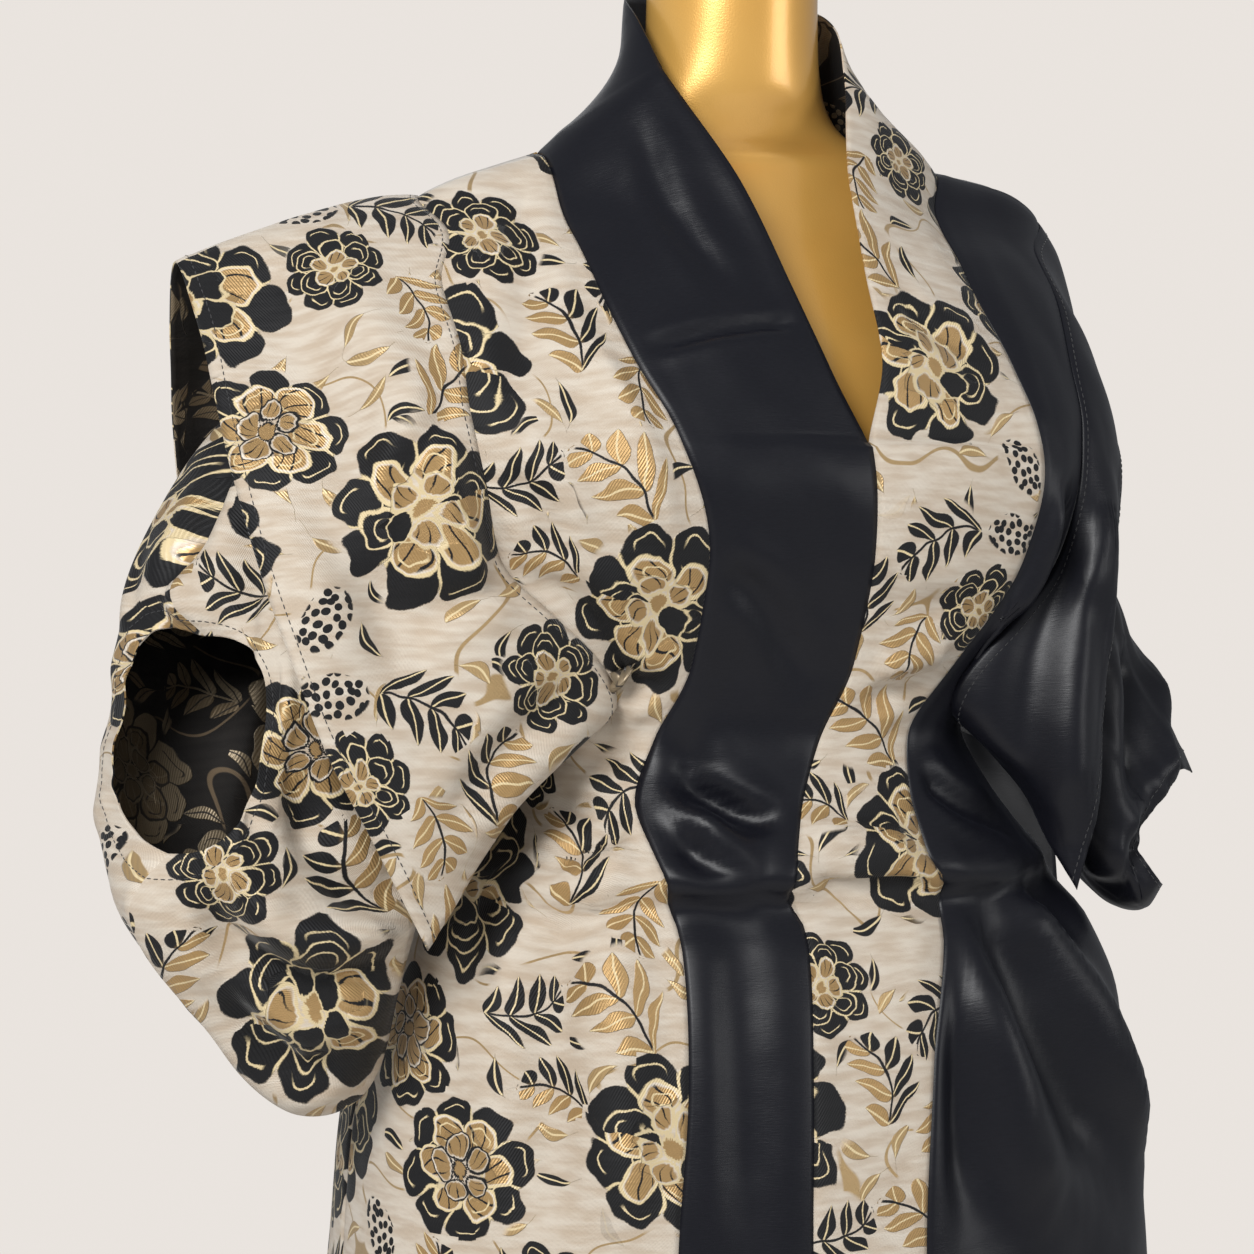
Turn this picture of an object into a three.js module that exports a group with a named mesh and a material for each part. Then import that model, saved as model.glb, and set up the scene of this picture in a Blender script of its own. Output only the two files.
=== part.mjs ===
// A half-and-half brocade and satin dress, cut like a robe, on a limbless dress form.
// Millimetres, +Z up. The floor is z = 0, the stand's axis is x = y = 0 and the dress faces -Y,
// so the wearer's right side is at -X. Every cloth piece is a closed wall through a grid of points
// that is worked out from the section tables below.
import * as THREE from "three";

// ---- Driving dimensions ----
const WALL = 2; // cloth with its seam turnings
const SEAM_GAP = 0.3; // between two pieces at a seam
const HEM_Z = 230;
const UNDERARM_Z = 1138;
const SHOULDER_TIP_Z = 1455;
const NECK_SIDE_Z = 1490; // where the shoulder seam meets the band
const BACK_NECK_Z = 1494;
const LOW_ROWS = 17; // rows of a panel from the hem to the underarm
const ARM_ROWS = 17; // rows along the armhole
const PANEL_COLUMNS = 9;
const BACK_COLUMNS = 10;
const SHOULDER_COLUMNS = 3; // columns of a back that end on the shoulder seam
const BAND_COLUMNS = 4;
const COLLAR_ROWS = 7; // rows of a band behind the shoulder seam
const SLEEVE_STEPS = 3; // rings between two rows of the sleeve table
const CAPE_COLUMNS = 6;

// Sections of the body of the dress: half width on each side, depth in front and behind, and squareness
// (2 is an ellipse, more is boxier).
const SECTIONS = [
  { z: 200, right: 290, left: 304, front: 217, back: 217, square: 2.1 },
  { z: 560, right: 273, left: 288, front: 203, back: 207, square: 2.1 },
  { z: 858, right: 256, left: 277, front: 184, back: 192, square: 2.1 },
  { z: 947, right: 240, left: 262, front: 170, back: 178, square: 2.15 },
  { z: 1005, right: 216, left: 235, front: 152, back: 158, square: 2.2 },
  { z: 1030, right: 199, left: 214, front: 139, back: 146, square: 2.2 },
  { z: 1046, right: 196, left: 208, front: 151, back: 143, square: 2.2 },
  { z: 1065, right: 178, left: 190, front: 143, back: 131, square: 2.2 },
  { z: 1095, right: 158, left: 168, front: 126, back: 116, square: 2.2 },
  { z: 1130, right: 147, left: 147, front: 116, back: 106, square: 2.3 },
  { z: 1160, right: 163, left: 158, front: 121, back: 106, square: 2.6 },
  { z: 1202, right: 198, left: 182, front: 136, back: 108, square: 3.2 },
  { z: 1240, right: 222, left: 198, front: 149, back: 110, square: 3.6 },
  { z: 1283, right: 238, left: 208, front: 156, back: 112, square: 3.8 },
  { z: 1320, right: 246, left: 214, front: 148, back: 112, square: 3.8 },
  { z: 1355, right: 248, left: 217, front: 130, back: 110, square: 3.6 },
  { z: 1400, right: 240, left: 219, front: 101, back: 102, square: 3.2 },
  { z: 1425, right: 230, left: 219, front: 81, back: 92, square: 2.8 },
  { z: 1446, right: 218, left: 219, front: 59, back: 76, square: 2.4 },
  { z: 1458, right: 208, left: 217, front: 50, back: 68, square: 2.2 },
  { z: 1470, right: 186, left: 208, front: 44, back: 62, square: 2.1 },
  { z: 1481, right: 156, left: 184, front: 39, back: 58, square: 2 },
  { z: 1490, right: 130, left: 138, front: 34, back: 55, square: 2 },
  { z: 1500, right: 108, left: 110, front: 31, back: 52, square: 2 },
];

// Edges of the armhole: how far in front of the side line and behind it they lie, in degrees.
const ARMHOLE = [
  { z: UNDERARM_Z, front: 0, back: 0 },
  { z: 1141, front: 20, back: 18 },
  { z: 1150, front: 38, back: 34 },
  { z: 1175, front: 38, back: 36 },
  { z: 1202, front: 34, back: 34 },
  { z: 1229, front: 30, back: 31 },
  { z: 1283, front: 30.5, back: 27 },
  { z: 1355, front: 25, back: 24 },
  { z: 1400, front: 17, back: 18 },
  { z: 1430, front: 12, back: 12 },
  { z: SHOULDER_TIP_Z, front: 0, back: 0 },
];

// The seam edge of each front band, on the body of the dress.
const BAND_SEAM_RIGHT = [
  { z: HEM_Z, x: -104 },
  { z: 560, x: -104 },
  { z: 820, x: -102 },
  { z: 935, x: -91 },
  { z: 1018, x: -87 },
  { z: 1036, x: -92 },
  { z: 1059, x: -98 },
  { z: 1088, x: -103 },
  { z: 1128, x: -89 },
  { z: 1176, x: -73 },
  { z: 1233, x: -72 },
  { z: 1308, x: -92 },
  { z: 1357, x: -113 },
  { z: 1406, x: -125 },
  { z: 1452, x: -130 },
  { z: NECK_SIDE_Z, x: -130 },
];
const BAND_SEAM_LEFT = [
  { z: HEM_Z, x: 50 },
  { z: 560, x: 50 },
  { z: 820, x: 52 },
  { z: 935, x: 64 },
  { z: 1018, x: 84 },
  { z: 1036, x: 86 },
  { z: 1059, x: 74 },
  { z: 1088, x: 72 },
  { z: 1128, x: 77 },
  { z: 1172, x: 106 },
  { z: 1233, x: 140 },
  { z: 1295, x: 151 },
  { z: 1353, x: 140 },
  { z: 1410, x: 126 },
  { z: 1455, x: 124 },
  { z: NECK_SIDE_Z, x: 138 },
];
// Where the two bands meet, up to the bottom of the V.
const V_BOTTOM_Z = 1306;
const CENTRE_FRONT = [
  { z: HEM_Z, x: -22 },
  { z: 820, x: -22 },
  { z: 935, x: -16 },
  { z: 1018, x: -10 },
  { z: 1036, x: -19 },
  { z: 1059, x: -15 },
  { z: 1086, x: -6 },
  { z: 1127, x: 12 },
  { z: 1174, x: 31 },
  { z: 1232, x: 34 },
  { z: V_BOTTOM_Z, x: 30 },
];
// The free edge of each band above that, for a row that starts at `seam` on the seam edge.
const V_EDGE_RIGHT = [
  { seam: V_BOTTOM_Z, x: 30, y: -147, z: V_BOTTOM_Z },
  { seam: 1357, x: 8, y: -139, z: 1352 },
  { seam: 1406, x: -8, y: -118, z: 1402 },
  { seam: 1452, x: -29, y: -92, z: 1464 },
  { seam: NECK_SIDE_Z, x: -64, y: -47, z: 1538 },
];
const V_EDGE_LEFT = [
  { seam: V_BOTTOM_Z, x: 30, y: -147, z: V_BOTTOM_Z },
  { seam: 1353, x: 42, y: -141, z: 1358 },
  { seam: 1410, x: 42, y: -119, z: 1406 },
  { seam: 1455, x: 44, y: -90, z: 1466 },
  { seam: NECK_SIDE_Z, x: 62, y: -42, z: 1540 },
];
// The free edge of a band behind the shoulder seam, as a standing collar to the centre back.
const COLLAR = [
  { x: 69, y: -14, z: 1574 },
  { x: 66, y: 18, z: 1592 },
  { x: 50, y: 47, z: 1600 },
  { x: 26, y: 62, z: 1602 },
  { x: 0, y: 66, z: 1602 },
];

// Rings of the sleeves outside the armhole, each through its lowest, front, top and back point;
// a smaller `full` makes a boxier ring. The last one is the mouth.
const SLEEVE_RIGHT = [
  { low: [-196, -24, 1098], front: [-212, -90, 1275], top: [-228, -2, 1408], back: [-226, 84, 1290], full: 1.05 },
  { low: [-228, -48, 1000], front: [-246, -86, 1210], top: [-258, -5, 1368], back: [-262, 82, 1240], full: 1 },
  { low: [-262, -64, 918], front: [-275, -94, 1162], top: [-294, -8, 1322], back: [-300, 78, 1195], full: 0.95 },
  { low: [-302, -70, 912], front: [-296, -102, 1138], top: [-326, -12, 1280], back: [-338, 70, 1168], full: 0.9 },
  { low: [-348, -72, 960], front: [-311, -107, 1122], top: [-352, -20, 1244], back: [-370, 54, 1158], full: 0.85 },
  { low: [-402, -86, 1036], front: [-322, -109, 1120], top: [-366, -34, 1214], back: [-396, 22, 1148], full: 0.78 },
  { low: [-382, -97, 1070], front: [-330, -105, 1132], top: [-350, -46, 1192], back: [-394, -12, 1146], full: 0.72 },
];
const SLEEVE_LEFT = [
  { low: [196, -24, 1100], front: [194, -82, 1275], top: [222, -2, 1404], back: [202, 78, 1280], full: 1.05 },
  { low: [222, -40, 1050], front: [202, -82, 1215], top: [230, -5, 1345], back: [214, 76, 1225], full: 1 },
  { low: [240, -52, 1020], front: [213, -88, 1170], top: [244, -8, 1290], back: [238, 78, 1190], full: 0.95 },
  { low: [253, -60, 1010], front: [228, -92, 1135], top: [262, -14, 1224], back: [262, 68, 1150], full: 0.9 },
  { low: [264, -66, 1010], front: [244, -92, 1100], top: [290, -26, 1158], back: [284, 46, 1112], full: 0.85 },
  { low: [272, -74, 1026], front: [260, -86, 1072], top: [318, -36, 1094], back: [298, 12, 1076], full: 0.8 },
];

// The free edge of the capes over the sleeves, from the front tip over the shoulder to the back.
const CAPE_RIGHT = [
  { x: -243, y: -140, z: 1014 },
  { x: -272, y: -142, z: 1072 },
  { x: -300, y: -136, z: 1128 },
  { x: -322, y: -116, z: 1200 },
  { x: -340, y: -78, z: 1290 },
  { x: -352, y: -30, z: 1380 },
  { x: -357, y: 2, z: 1414 },
  { x: -350, y: 45, z: 1362 },
  { x: -336, y: 88, z: 1270 },
  { x: -316, y: 112, z: 1180 },
  { x: -286, y: 122, z: 1100 },
  { x: -245, y: 120, z: 1020 },
];
const CAPE_LEFT = [
  { x: 184, y: -124, z: 1030 },
  { x: 198, y: -124, z: 1090 },
  { x: 209, y: -120, z: 1160 },
  { x: 220, y: -110, z: 1230 },
  { x: 236, y: -82, z: 1294 },
  { x: 250, y: -34, z: 1318 },
  { x: 254, y: 4, z: 1322 },
  { x: 254, y: 42, z: 1310 },
  { x: 251, y: 86, z: 1250 },
  { x: 260, y: 106, z: 1168 },
  { x: 288, y: 110, z: 1082 },
  { x: 298, y: 108, z: 990 },
];

// ---- Curves ----
const lerp = THREE.MathUtils.lerp;
const radians = THREE.MathUtils.degToRad;

// Monotone cubic through the rows of a table, looked up by its first column.
function tableLookup(rows, key, name, at) {
  const last = rows.length - 1;
  if (at <= rows[0][key]) return rows[0][name];
  if (at >= rows[last][key]) return rows[last][name];
  let i = 0;
  while (at > rows[i + 1][key]) i += 1;
  const slopeOf = (j) => (rows[j + 1][name] - rows[j][name]) / (rows[j + 1][key] - rows[j][key]);
  const tangent = (j) => {
    if (j === 0) return slopeOf(0);
    if (j === last) return slopeOf(last - 1);
    const a = slopeOf(j - 1);
    const b = slopeOf(j);
    return a * b <= 0 ? 0 : (2 * a * b) / (a + b);
  };
  const step = rows[i + 1][key] - rows[i][key];
  const t = (at - rows[i][key]) / step;
  const t2 = t * t;
  const t3 = t2 * t;
  return (2 * t3 - 3 * t2 + 1) * rows[i][name] + (t3 - 2 * t2 + t) * step * tangent(i)
    + (3 * t2 - 2 * t3) * rows[i + 1][name] + (t3 - t2) * step * tangent(i + 1);
}

// Even steps along a smooth curve through points.
function evenSteps(points, steps) {
  return new THREE.CatmullRomCurve3(points, false, "centripetal").getSpacedPoints(steps);
}

// ---- The body of the dress ----
// A point at an angle from the centre front (0) over the side (90) to the centre back (180),
// on the side of the body that `side` gives (-1 is the wearer's right).
function bodyPoint(side, angle, z) {
  const half = tableLookup(SECTIONS, "z", side < 0 ? "right" : "left", z);
  const depth = tableLookup(SECTIONS, "z", angle < 90 ? "front" : "back", z);
  const square = tableLookup(SECTIONS, "z", "square", z);
  const across = Math.sin(radians(angle));
  const along = Math.cos(radians(angle));
  const sum = (across / half) ** square + (Math.abs(along) / depth) ** square;
  const reach = sum ** (-1 / square) + skirtFold(side, angle, z);
  return new THREE.Vector3(side * across * reach, -along * reach, z);
}

// Soft lengthwise folds of the skirt, deepest at the hem.
function skirtFold(side, angle, z) {
  const FOLD_TOP = 1020;
  const FOLD_DEPTH = 13;
  const FOLDS_A_SIDE = 5;
  if (z > FOLD_TOP) return 0;
  const drop = (FOLD_TOP - z) / (FOLD_TOP - HEM_Z);
  const wave = Math.cos(radians(2 * FOLDS_A_SIDE * angle + 25 * side));
  return FOLD_DEPTH * drop * wave * Math.sin(radians(angle)) ** 2;
}

function bodyNormal(side, angle, z) {
  const STEP = 0.5;
  const low = Math.max(angle - STEP, 0);
  const high = Math.min(angle + STEP, 180);
  const around = bodyPoint(side, high, z).sub(bodyPoint(side, low, z));
  const up = bodyPoint(side, angle, z + STEP).sub(bodyPoint(side, angle, z - STEP));
  return around.cross(up).multiplyScalar(side).normalize();
}

// The angle of the point of the body's front that lies at x.
function frontAngle(x, z) {
  const half = tableLookup(SECTIONS, "z", x < 0 ? "right" : "left", z);
  const depth = tableLookup(SECTIONS, "z", "front", z);
  const square = tableLookup(SECTIONS, "z", "square", z);
  const share = Math.min(Math.abs(x) / half, 1);
  const y = depth * (1 - share ** square) ** (1 / square);
  return THREE.MathUtils.radToDeg(Math.atan2(Math.abs(x), y));
}

// ---- Seam lines, as angle and height on the body ----
// Where the rows of a panel meet the side seam and then the armhole.
function outerLine(edge) {
  const MM_A_DEGREE = 3; // about the girth that a degree spans at the armhole
  const sign = edge === "front" ? -1 : 1;
  const line = [];
  for (let i = 0; i < LOW_ROWS; i += 1) {
    line.push({ angle: 90, z: lerp(HEM_Z, UNDERARM_Z, lowRise(i / LOW_ROWS)) });
  }
  const flat = ARMHOLE.map((row) => new THREE.Vector3(row[edge] * MM_A_DEGREE, 0, row.z));
  for (const point of evenSteps(flat, ARM_ROWS)) {
    line.push({ angle: 90 + (sign * point.x) / MM_A_DEGREE, z: point.z });
  }
  return line;
}

// Rows are closer together near the waist than at the hem.
function lowRise(t) {
  const CROWDING = 1.35;
  return 1 - (1 - t) ** CROWDING;
}

// Where the rows of a front panel meet its band, up to the shoulder seam.
function seamLine(band) {
  const ROW_AT_WAIST_Z = 1118;
  const SPREAD = 0.92; // rows lie a little closer together towards the shoulder
  const heights = [];
  for (let i = 0; i < LOW_ROWS; i += 1) {
    heights.push(lerp(HEM_Z, ROW_AT_WAIST_Z, lowRise(i / LOW_ROWS)));
  }
  for (let i = 0; i <= ARM_ROWS; i += 1) {
    heights.push(lerp(ROW_AT_WAIST_Z, NECK_SIDE_Z, (i / ARM_ROWS) ** SPREAD));
  }
  return heights.map((z) => ({ x: tableLookup(band, "z", "x", z), z }));
}

// ---- Walls ----
// A closed wall through a grid of points, each with the direction that faces out.
function wall(grid, normals, closed = false) {
  const rows = grid.length;
  const columns = grid[0].length;
  const vertices = [];
  for (const side of [WALL / 2, -WALL / 2]) {
    for (let r = 0; r < rows; r += 1) {
      for (let c = 0; c < columns; c += 1) {
        const point = grid[r][c].clone().addScaledVector(normals[r][c], side);
        vertices.push(point.x, point.y, point.z);
      }
    }
  }
  const layer = rows * columns;
  const at = (r, c) => r * columns + (c % columns);
  const faces = [];
  const quad = (a, b, c, d) => faces.push(a, b, c, a, c, d);
  const spans = closed ? columns : columns - 1;
  for (let r = 0; r < rows - 1; r += 1) {
    for (let c = 0; c < spans; c += 1) {
      quad(at(r, c), at(r, c + 1), at(r + 1, c + 1), at(r + 1, c));
      quad(layer + at(r, c), layer + at(r + 1, c), layer + at(r + 1, c + 1), layer + at(r, c + 1));
    }
  }
  const last = rows - 1;
  for (let c = 0; c < spans; c += 1) {
    quad(at(0, c), layer + at(0, c), layer + at(0, c + 1), at(0, c + 1));
    quad(at(last, c), at(last, c + 1), layer + at(last, c + 1), layer + at(last, c));
  }
  if (!closed) {
    const end = columns - 1;
    for (let r = 0; r < last; r += 1) {
      quad(at(r, 0), at(r + 1, 0), layer + at(r + 1, 0), layer + at(r, 0));
      quad(at(r, end), layer + at(r, end), layer + at(r + 1, end), at(r + 1, end));
    }
  }
  const geometry = new THREE.BufferGeometry();
  geometry.setAttribute("position", new THREE.Float32BufferAttribute(vertices, 3));
  geometry.setIndex(faces);
  return facingOut(geometry);
}

// Turns a closed body's faces outward if its volume comes out negative.
function facingOut(geometry) {
  const position = geometry.getAttribute("position");
  const index = geometry.getIndex();
  const corner = [new THREE.Vector3(), new THREE.Vector3(), new THREE.Vector3()];
  let volume = 0;
  for (let i = 0; i < index.count; i += 3) {
    corner.forEach((point, k) => point.fromBufferAttribute(position, index.getX(i + k)));
    volume += corner[0].dot(corner[1].clone().cross(corner[2])) / 6;
  }
  if (volume < 0) {
    for (let i = 0; i < index.count; i += 3) {
      const second = index.getX(i + 1);
      index.setX(i + 1, index.getX(i + 2));
      index.setX(i + 2, second);
    }
  }
  geometry.computeVertexNormals();
  return geometry;
}

// Directions that face out of a free grid, from its own points.
function gridNormals(grid, outward, closed = false) {
  const rows = grid.length;
  const columns = grid[0].length;
  return grid.map((row, r) => row.map((point, c) => {
    const left = closed ? (c - 1 + columns) % columns : Math.max(c - 1, 0);
    const right = closed ? (c + 1) % columns : Math.min(c + 1, columns - 1);
    const along = row[right].clone().sub(row[left]);
    const up = grid[Math.min(r + 1, rows - 1)][c].clone().sub(grid[Math.max(r - 1, 0)][c]);
    const normal = along.cross(up).normalize();
    return normal.multiplyScalar(outward);
  }));
}

// Moves the end columns and the top row of a panel in by half a seam gap.
function trimSeams(grid) {
  const moveIn = (from, to) => {
    const way = to.clone().sub(from);
    return from.clone().addScaledVector(way, SEAM_GAP / 2 / way.length());
  };
  const top = grid.length - 1;
  const end = grid[0].length - 1;
  const copy = grid.map((row) => row.map((point) => point.clone()));
  for (let r = 0; r <= top; r += 1) {
    copy[r][0] = moveIn(grid[r][0], grid[r][1]);
    copy[r][end] = moveIn(grid[r][end], grid[r][end - 1]);
  }
  for (let c = 0; c <= end; c += 1) {
    copy[top][c] = moveIn(copy[top][c], copy[top - 1][c]);
  }
  return copy;
}

// ---- Panels ----
function frontPanel(side, band) {
  const inner = seamLine(band).map(({ x, z }) => ({ angle: frontAngle(x, z), z }));
  inner[inner.length - 1].angle = 90;
  const outer = outerLine("front");
  const places = inner.map((from, r) => {
    const row = [];
    for (let c = 0; c <= PANEL_COLUMNS; c += 1) {
      const t = c / PANEL_COLUMNS;
      row.push({ angle: lerp(from.angle, outer[r].angle, t), z: lerp(from.z, outer[r].z, t) });
    }
    return row;
  });
  return panelWall(side, places);
}

function backPanel(side) {
  const CENTRE_SPREAD = 1.12; // rows lie closer together up the centre back
  const SHOULDER_PULL = 5; // how late the rows turn into the shoulder seam and the neck
  const outer = outerLine("back");
  const rows = outer.length - 1;
  const topPlace = (t) => {
    const corner = SHOULDER_COLUMNS / BACK_COLUMNS;
    if (t <= corner) return { angle: 90, z: lerp(SHOULDER_TIP_Z, NECK_SIDE_Z, t / corner) };
    const u = (t - corner) / (1 - corner);
    return { angle: lerp(90, 180, u), z: lerp(NECK_SIDE_Z, BACK_NECK_Z, u) };
  };
  const places = outer.map((from, r) => {
    const v = r / rows;
    const centreZ = lerp(HEM_Z, BACK_NECK_Z, 1 - (1 - v) ** CENTRE_SPREAD);
    const pull = v ** SHOULDER_PULL;
    const row = [];
    for (let c = 0; c <= BACK_COLUMNS; c += 1) {
      const t = c / BACK_COLUMNS;
      const top = topPlace(t);
      const straightZ = lerp(SHOULDER_TIP_Z, BACK_NECK_Z, t);
      const straightAngle = lerp(90, 180, t);
      row.push({
        angle: lerp(from.angle, 180, t) + pull * (top.angle - straightAngle),
        z: lerp(from.z, centreZ, t) + pull * (top.z - straightZ),
      });
    }
    return row;
  });
  return panelWall(side, places);
}

function panelWall(side, places) {
  const grid = places.map((row) => row.map(({ angle, z }) => bodyPoint(side, angle, z)));
  const normals = places.map((row) => row.map(({ angle, z }) => bodyNormal(side, angle, z)));
  return wall(trimSeams(grid), normals);
}

// ---- Bands ----
function band(side, seamTable, edgeTable) {
  const BAND_CROWN = 3; // how far a band stands proud between its edges, above the V
  const seam = seamLine(seamTable);
  const last = seam.length - 1;
  const places = seam.map(({ x, z }, r) => ({ angle: r === last ? 90 : frontAngle(x, z), z }));
  const rows = seam.map(({ x, z }, r) => {
    const start = bodyPoint(side, places[r].angle, z);
    const row = [];
    for (let c = 0; c <= BAND_COLUMNS; c += 1) {
      const t = c / BAND_COLUMNS;
      if (z <= V_BOTTOM_Z) {
        const across = lerp(x, tableLookup(CENTRE_FRONT, "z", "x", z), t);
        row.push(bodyPoint(Math.sign(across) || 1, frontAngle(across, z), z));
      } else {
        const free = ["x", "y", "z"].map((name) => tableLookup(edgeTable, "seam", name, z));
        const point = start.clone().lerp(new THREE.Vector3(...free), t);
        point.y -= BAND_CROWN * 4 * t * (1 - t);
        row.push(point);
      }
    }
    return row;
  });
  // Behind the shoulder seam the band stands up round the neck to the centre back.
  const collarLine = [rows[last][BAND_COLUMNS].clone(),
    ...COLLAR.map(({ x, y, z }) => new THREE.Vector3(side * x, y, z))];
  const collar = evenSteps(collarLine, COLLAR_ROWS);
  for (let i = 1; i <= COLLAR_ROWS; i += 1) {
    const t = i / COLLAR_ROWS;
    const place = { angle: lerp(90, 180, t), z: lerp(NECK_SIDE_Z, BACK_NECK_Z, t) };
    const start = bodyPoint(side, place.angle, place.z);
    places.push(place);
    const row = [];
    for (let c = 0; c <= BAND_COLUMNS; c += 1) {
      row.push(start.clone().lerp(collar[i], c / BAND_COLUMNS));
    }
    rows.push(row);
  }
  // The wall follows the panels along the seam, faces ahead along the centre front and
  // faces straight back at the centre back.
  const normals = gridNormals(rows, -side);
  places.forEach(({ angle, z }, r) => {
    normals[r][0] = bodyNormal(side, angle, z);
    if (r <= last && z <= V_BOTTOM_Z) normals[r][BAND_COLUMNS] = new THREE.Vector3(0, -1, 0);
  });
  normals[rows.length - 1].forEach((normal) => normal.setX(0).normalize());
  return wall(trimSeams(rows), normals);
}

// ---- Sleeves and capes ----
// The armhole's seam line, from the underarm up the front, over the shoulder and down the back.
function armholePlaces() {
  const front = outerLine("front").slice(LOW_ROWS);
  const back = outerLine("back").slice(LOW_ROWS + 1, -1).reverse();
  return [...front, ...back];
}

function ringPoint(ring, turn) {
  const low = new THREE.Vector3(...ring.low);
  const top = new THREE.Vector3(...ring.top);
  const middle = low.clone().lerp(top, 0.5);
  const rise = top.clone().sub(low).multiplyScalar(0.5);
  const reach = new THREE.Vector3(...(turn < 0.5 ? ring.front : ring.back)).sub(middle);
  const soft = (value) => Math.sign(value) * Math.abs(value) ** ring.full;
  const angle = 2 * Math.PI * turn;
  return middle.addScaledVector(rise, soft(-Math.cos(angle)))
    .addScaledVector(reach, Math.abs(soft(Math.sin(angle))));
}

// The slack under a sleeve's front hangs in one long full fold: how far it stands out at a share of
// the sleeve's length and a turn round it.
function bagFold(along, turn) {
  const DEPTH = 15;
  const TURN = 0.13;
  const HALF_WIDTH = 0.055;
  const START = 0.22;
  const END = 0.82;
  if (along < START || along > END) return 0;
  const fade = Math.sin((Math.PI * (along - START)) / (END - START));
  return DEPTH * fade * Math.exp(-(((turn - TURN) / HALF_WIDTH) ** 2));
}

function sleeve(side, table) {
  const START = 1; // from the armhole's edge to the sleeve's own
  const LAP = WALL + SEAM_GAP + 0.4; // the sleeve's edge lies over the panel's
  const places = armholePlaces();
  const count = places.length;
  const seam = places.map(({ angle, z }) => bodyPoint(side, angle, z));
  const seamNormals = places.map(({ angle, z }) => bodyNormal(side, angle, z));
  const start = seam.map((point, i) => outward(point, seamNormals, seam, i, START)
    .addScaledVector(seamNormals[i], LAP));
  const lines = places.map((_, i) => {
    const turn = i / count;
    return [start[i], ...table.map((ring) => ringPoint(ring, turn))];
  });
  const rings = [];
  const steps = table.length * SLEEVE_STEPS;
  for (let s = 0; s <= steps; s += 1) {
    rings.push(lines.map((line) => {
      const curve = new THREE.CatmullRomCurve3(line, false, "centripetal");
      return curve.getPoint(s / steps);
    }));
  }
  rings[0] = start;
  const smooth = gridNormals(rings, -side, true);
  rings.forEach((ring, s) => ring.forEach((point, i) => {
    point.addScaledVector(smooth[s][i], bagFold(s / steps, i / count));
  }));
  return wall(rings, gridNormals(rings, -side, true), true);
}

// A point moved off the panel's edge, along the panel's surface and away from it.
function outward(point, normals, loop, i, distance) {
  const count = loop.length;
  const along = loop[(i + 1) % count].clone().sub(loop[(i - 1 + count) % count]);
  const away = along.cross(normals[i]).normalize();
  const centre = loop.reduce((sum, p) => sum.add(p), new THREE.Vector3()).divideScalar(count);
  if (away.dot(centre.sub(point)) < 0) away.negate();
  return point.clone().addScaledVector(away, distance);
}

function cape(side, edge) {
  const LIFT = 2 * (WALL + SEAM_GAP) + 1; // over the sleeve's edge
  const START = 1.5; // from the armhole's edge to the cape's own
  const FIRST = 3; // the cape ends this many points from the underarm
  const CROWN = 9; // how far the cloth stands off the straight line from seam to edge
  const places = armholePlaces();
  const count = places.length;
  const loop = places.map(({ angle, z }) => bodyPoint(side, angle, z));
  const loopNormals = places.map(({ angle, z }) => bodyNormal(side, angle, z));
  const seam = loop.map((point, i) => outward(point, loopNormals, loop, i, START)
    .addScaledVector(loopNormals[i], LIFT));
  const used = seam.slice(FIRST, count - FIRST + 1);
  const usedNormals = loopNormals.slice(FIRST, count - FIRST + 1);
  const free = evenSteps(edge.map(({ x, y, z }) => new THREE.Vector3(x, y, z)), used.length - 1);
  const grid = [];
  for (let b = 0; b <= CAPE_COLUMNS; b += 1) {
    const t = b / CAPE_COLUMNS;
    grid.push(used.map((point, i) => point.clone().lerp(free[i], t)
      .addScaledVector(usedNormals[i], CROWN * 4 * t * (1 - t))));
  }
  const normals = gridNormals(grid, -side);
  normals[0] = usedNormals;
  return wall(grid, normals);
}

// ---- The dress form and its stand ----
const FORM_SECTIONS = [
  { z: 800, half: 176, front: 108, back: 126, square: 2.2 },
  { z: 870, half: 182, front: 112, back: 136, square: 2.2 },
  { z: 930, half: 176, front: 112, back: 130, square: 2.2 },
  { z: 1000, half: 152, front: 106, back: 108, square: 2.2 },
  { z: 1060, half: 128, front: 98, back: 90, square: 2.2 },
  { z: 1110, half: 120, front: 94, back: 86, square: 2.2 },
  { z: 1160, half: 128, front: 102, back: 90, square: 2.2 },
  { z: 1220, half: 146, front: 122, back: 98, square: 2.3 },
  { z: 1275, half: 160, front: 134, back: 102, square: 2.3 },
  { z: 1330, half: 166, front: 120, back: 100, square: 2.3 },
  { z: 1380, half: 172, front: 98, back: 94, square: 2.3 },
  { z: 1420, half: 174, front: 76, back: 82, square: 2.2 },
  { z: 1451.2, half: 168, front: 54, back: 66, square: 2.1 },
  { z: 1467.4, half: 160, front: 44, back: 56, square: 2 },
  { z: 1480.5, half: 146, front: 36, back: 50, square: 2 },
  { z: 1490.1, half: 126, front: 31, back: 47, square: 2 },
  { z: 1500, half: 92, front: 36, back: 44, square: 2 },
  { z: 1514, half: 70, front: 42, back: 43, square: 2 },
  { z: 1532, half: 60, front: 50, back: 44, square: 2 },
  { z: 1560, half: 56, front: 54, back: 44, square: 2 },
  { z: 1600, half: 55, front: 58, back: 42, square: 2 },
  { z: 1632, half: 55, front: 60, back: 42, square: 2 },
  { z: 1644, half: 51, front: 57, back: 38, square: 2 },
];
const FORM_SIDES = 28;

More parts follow.
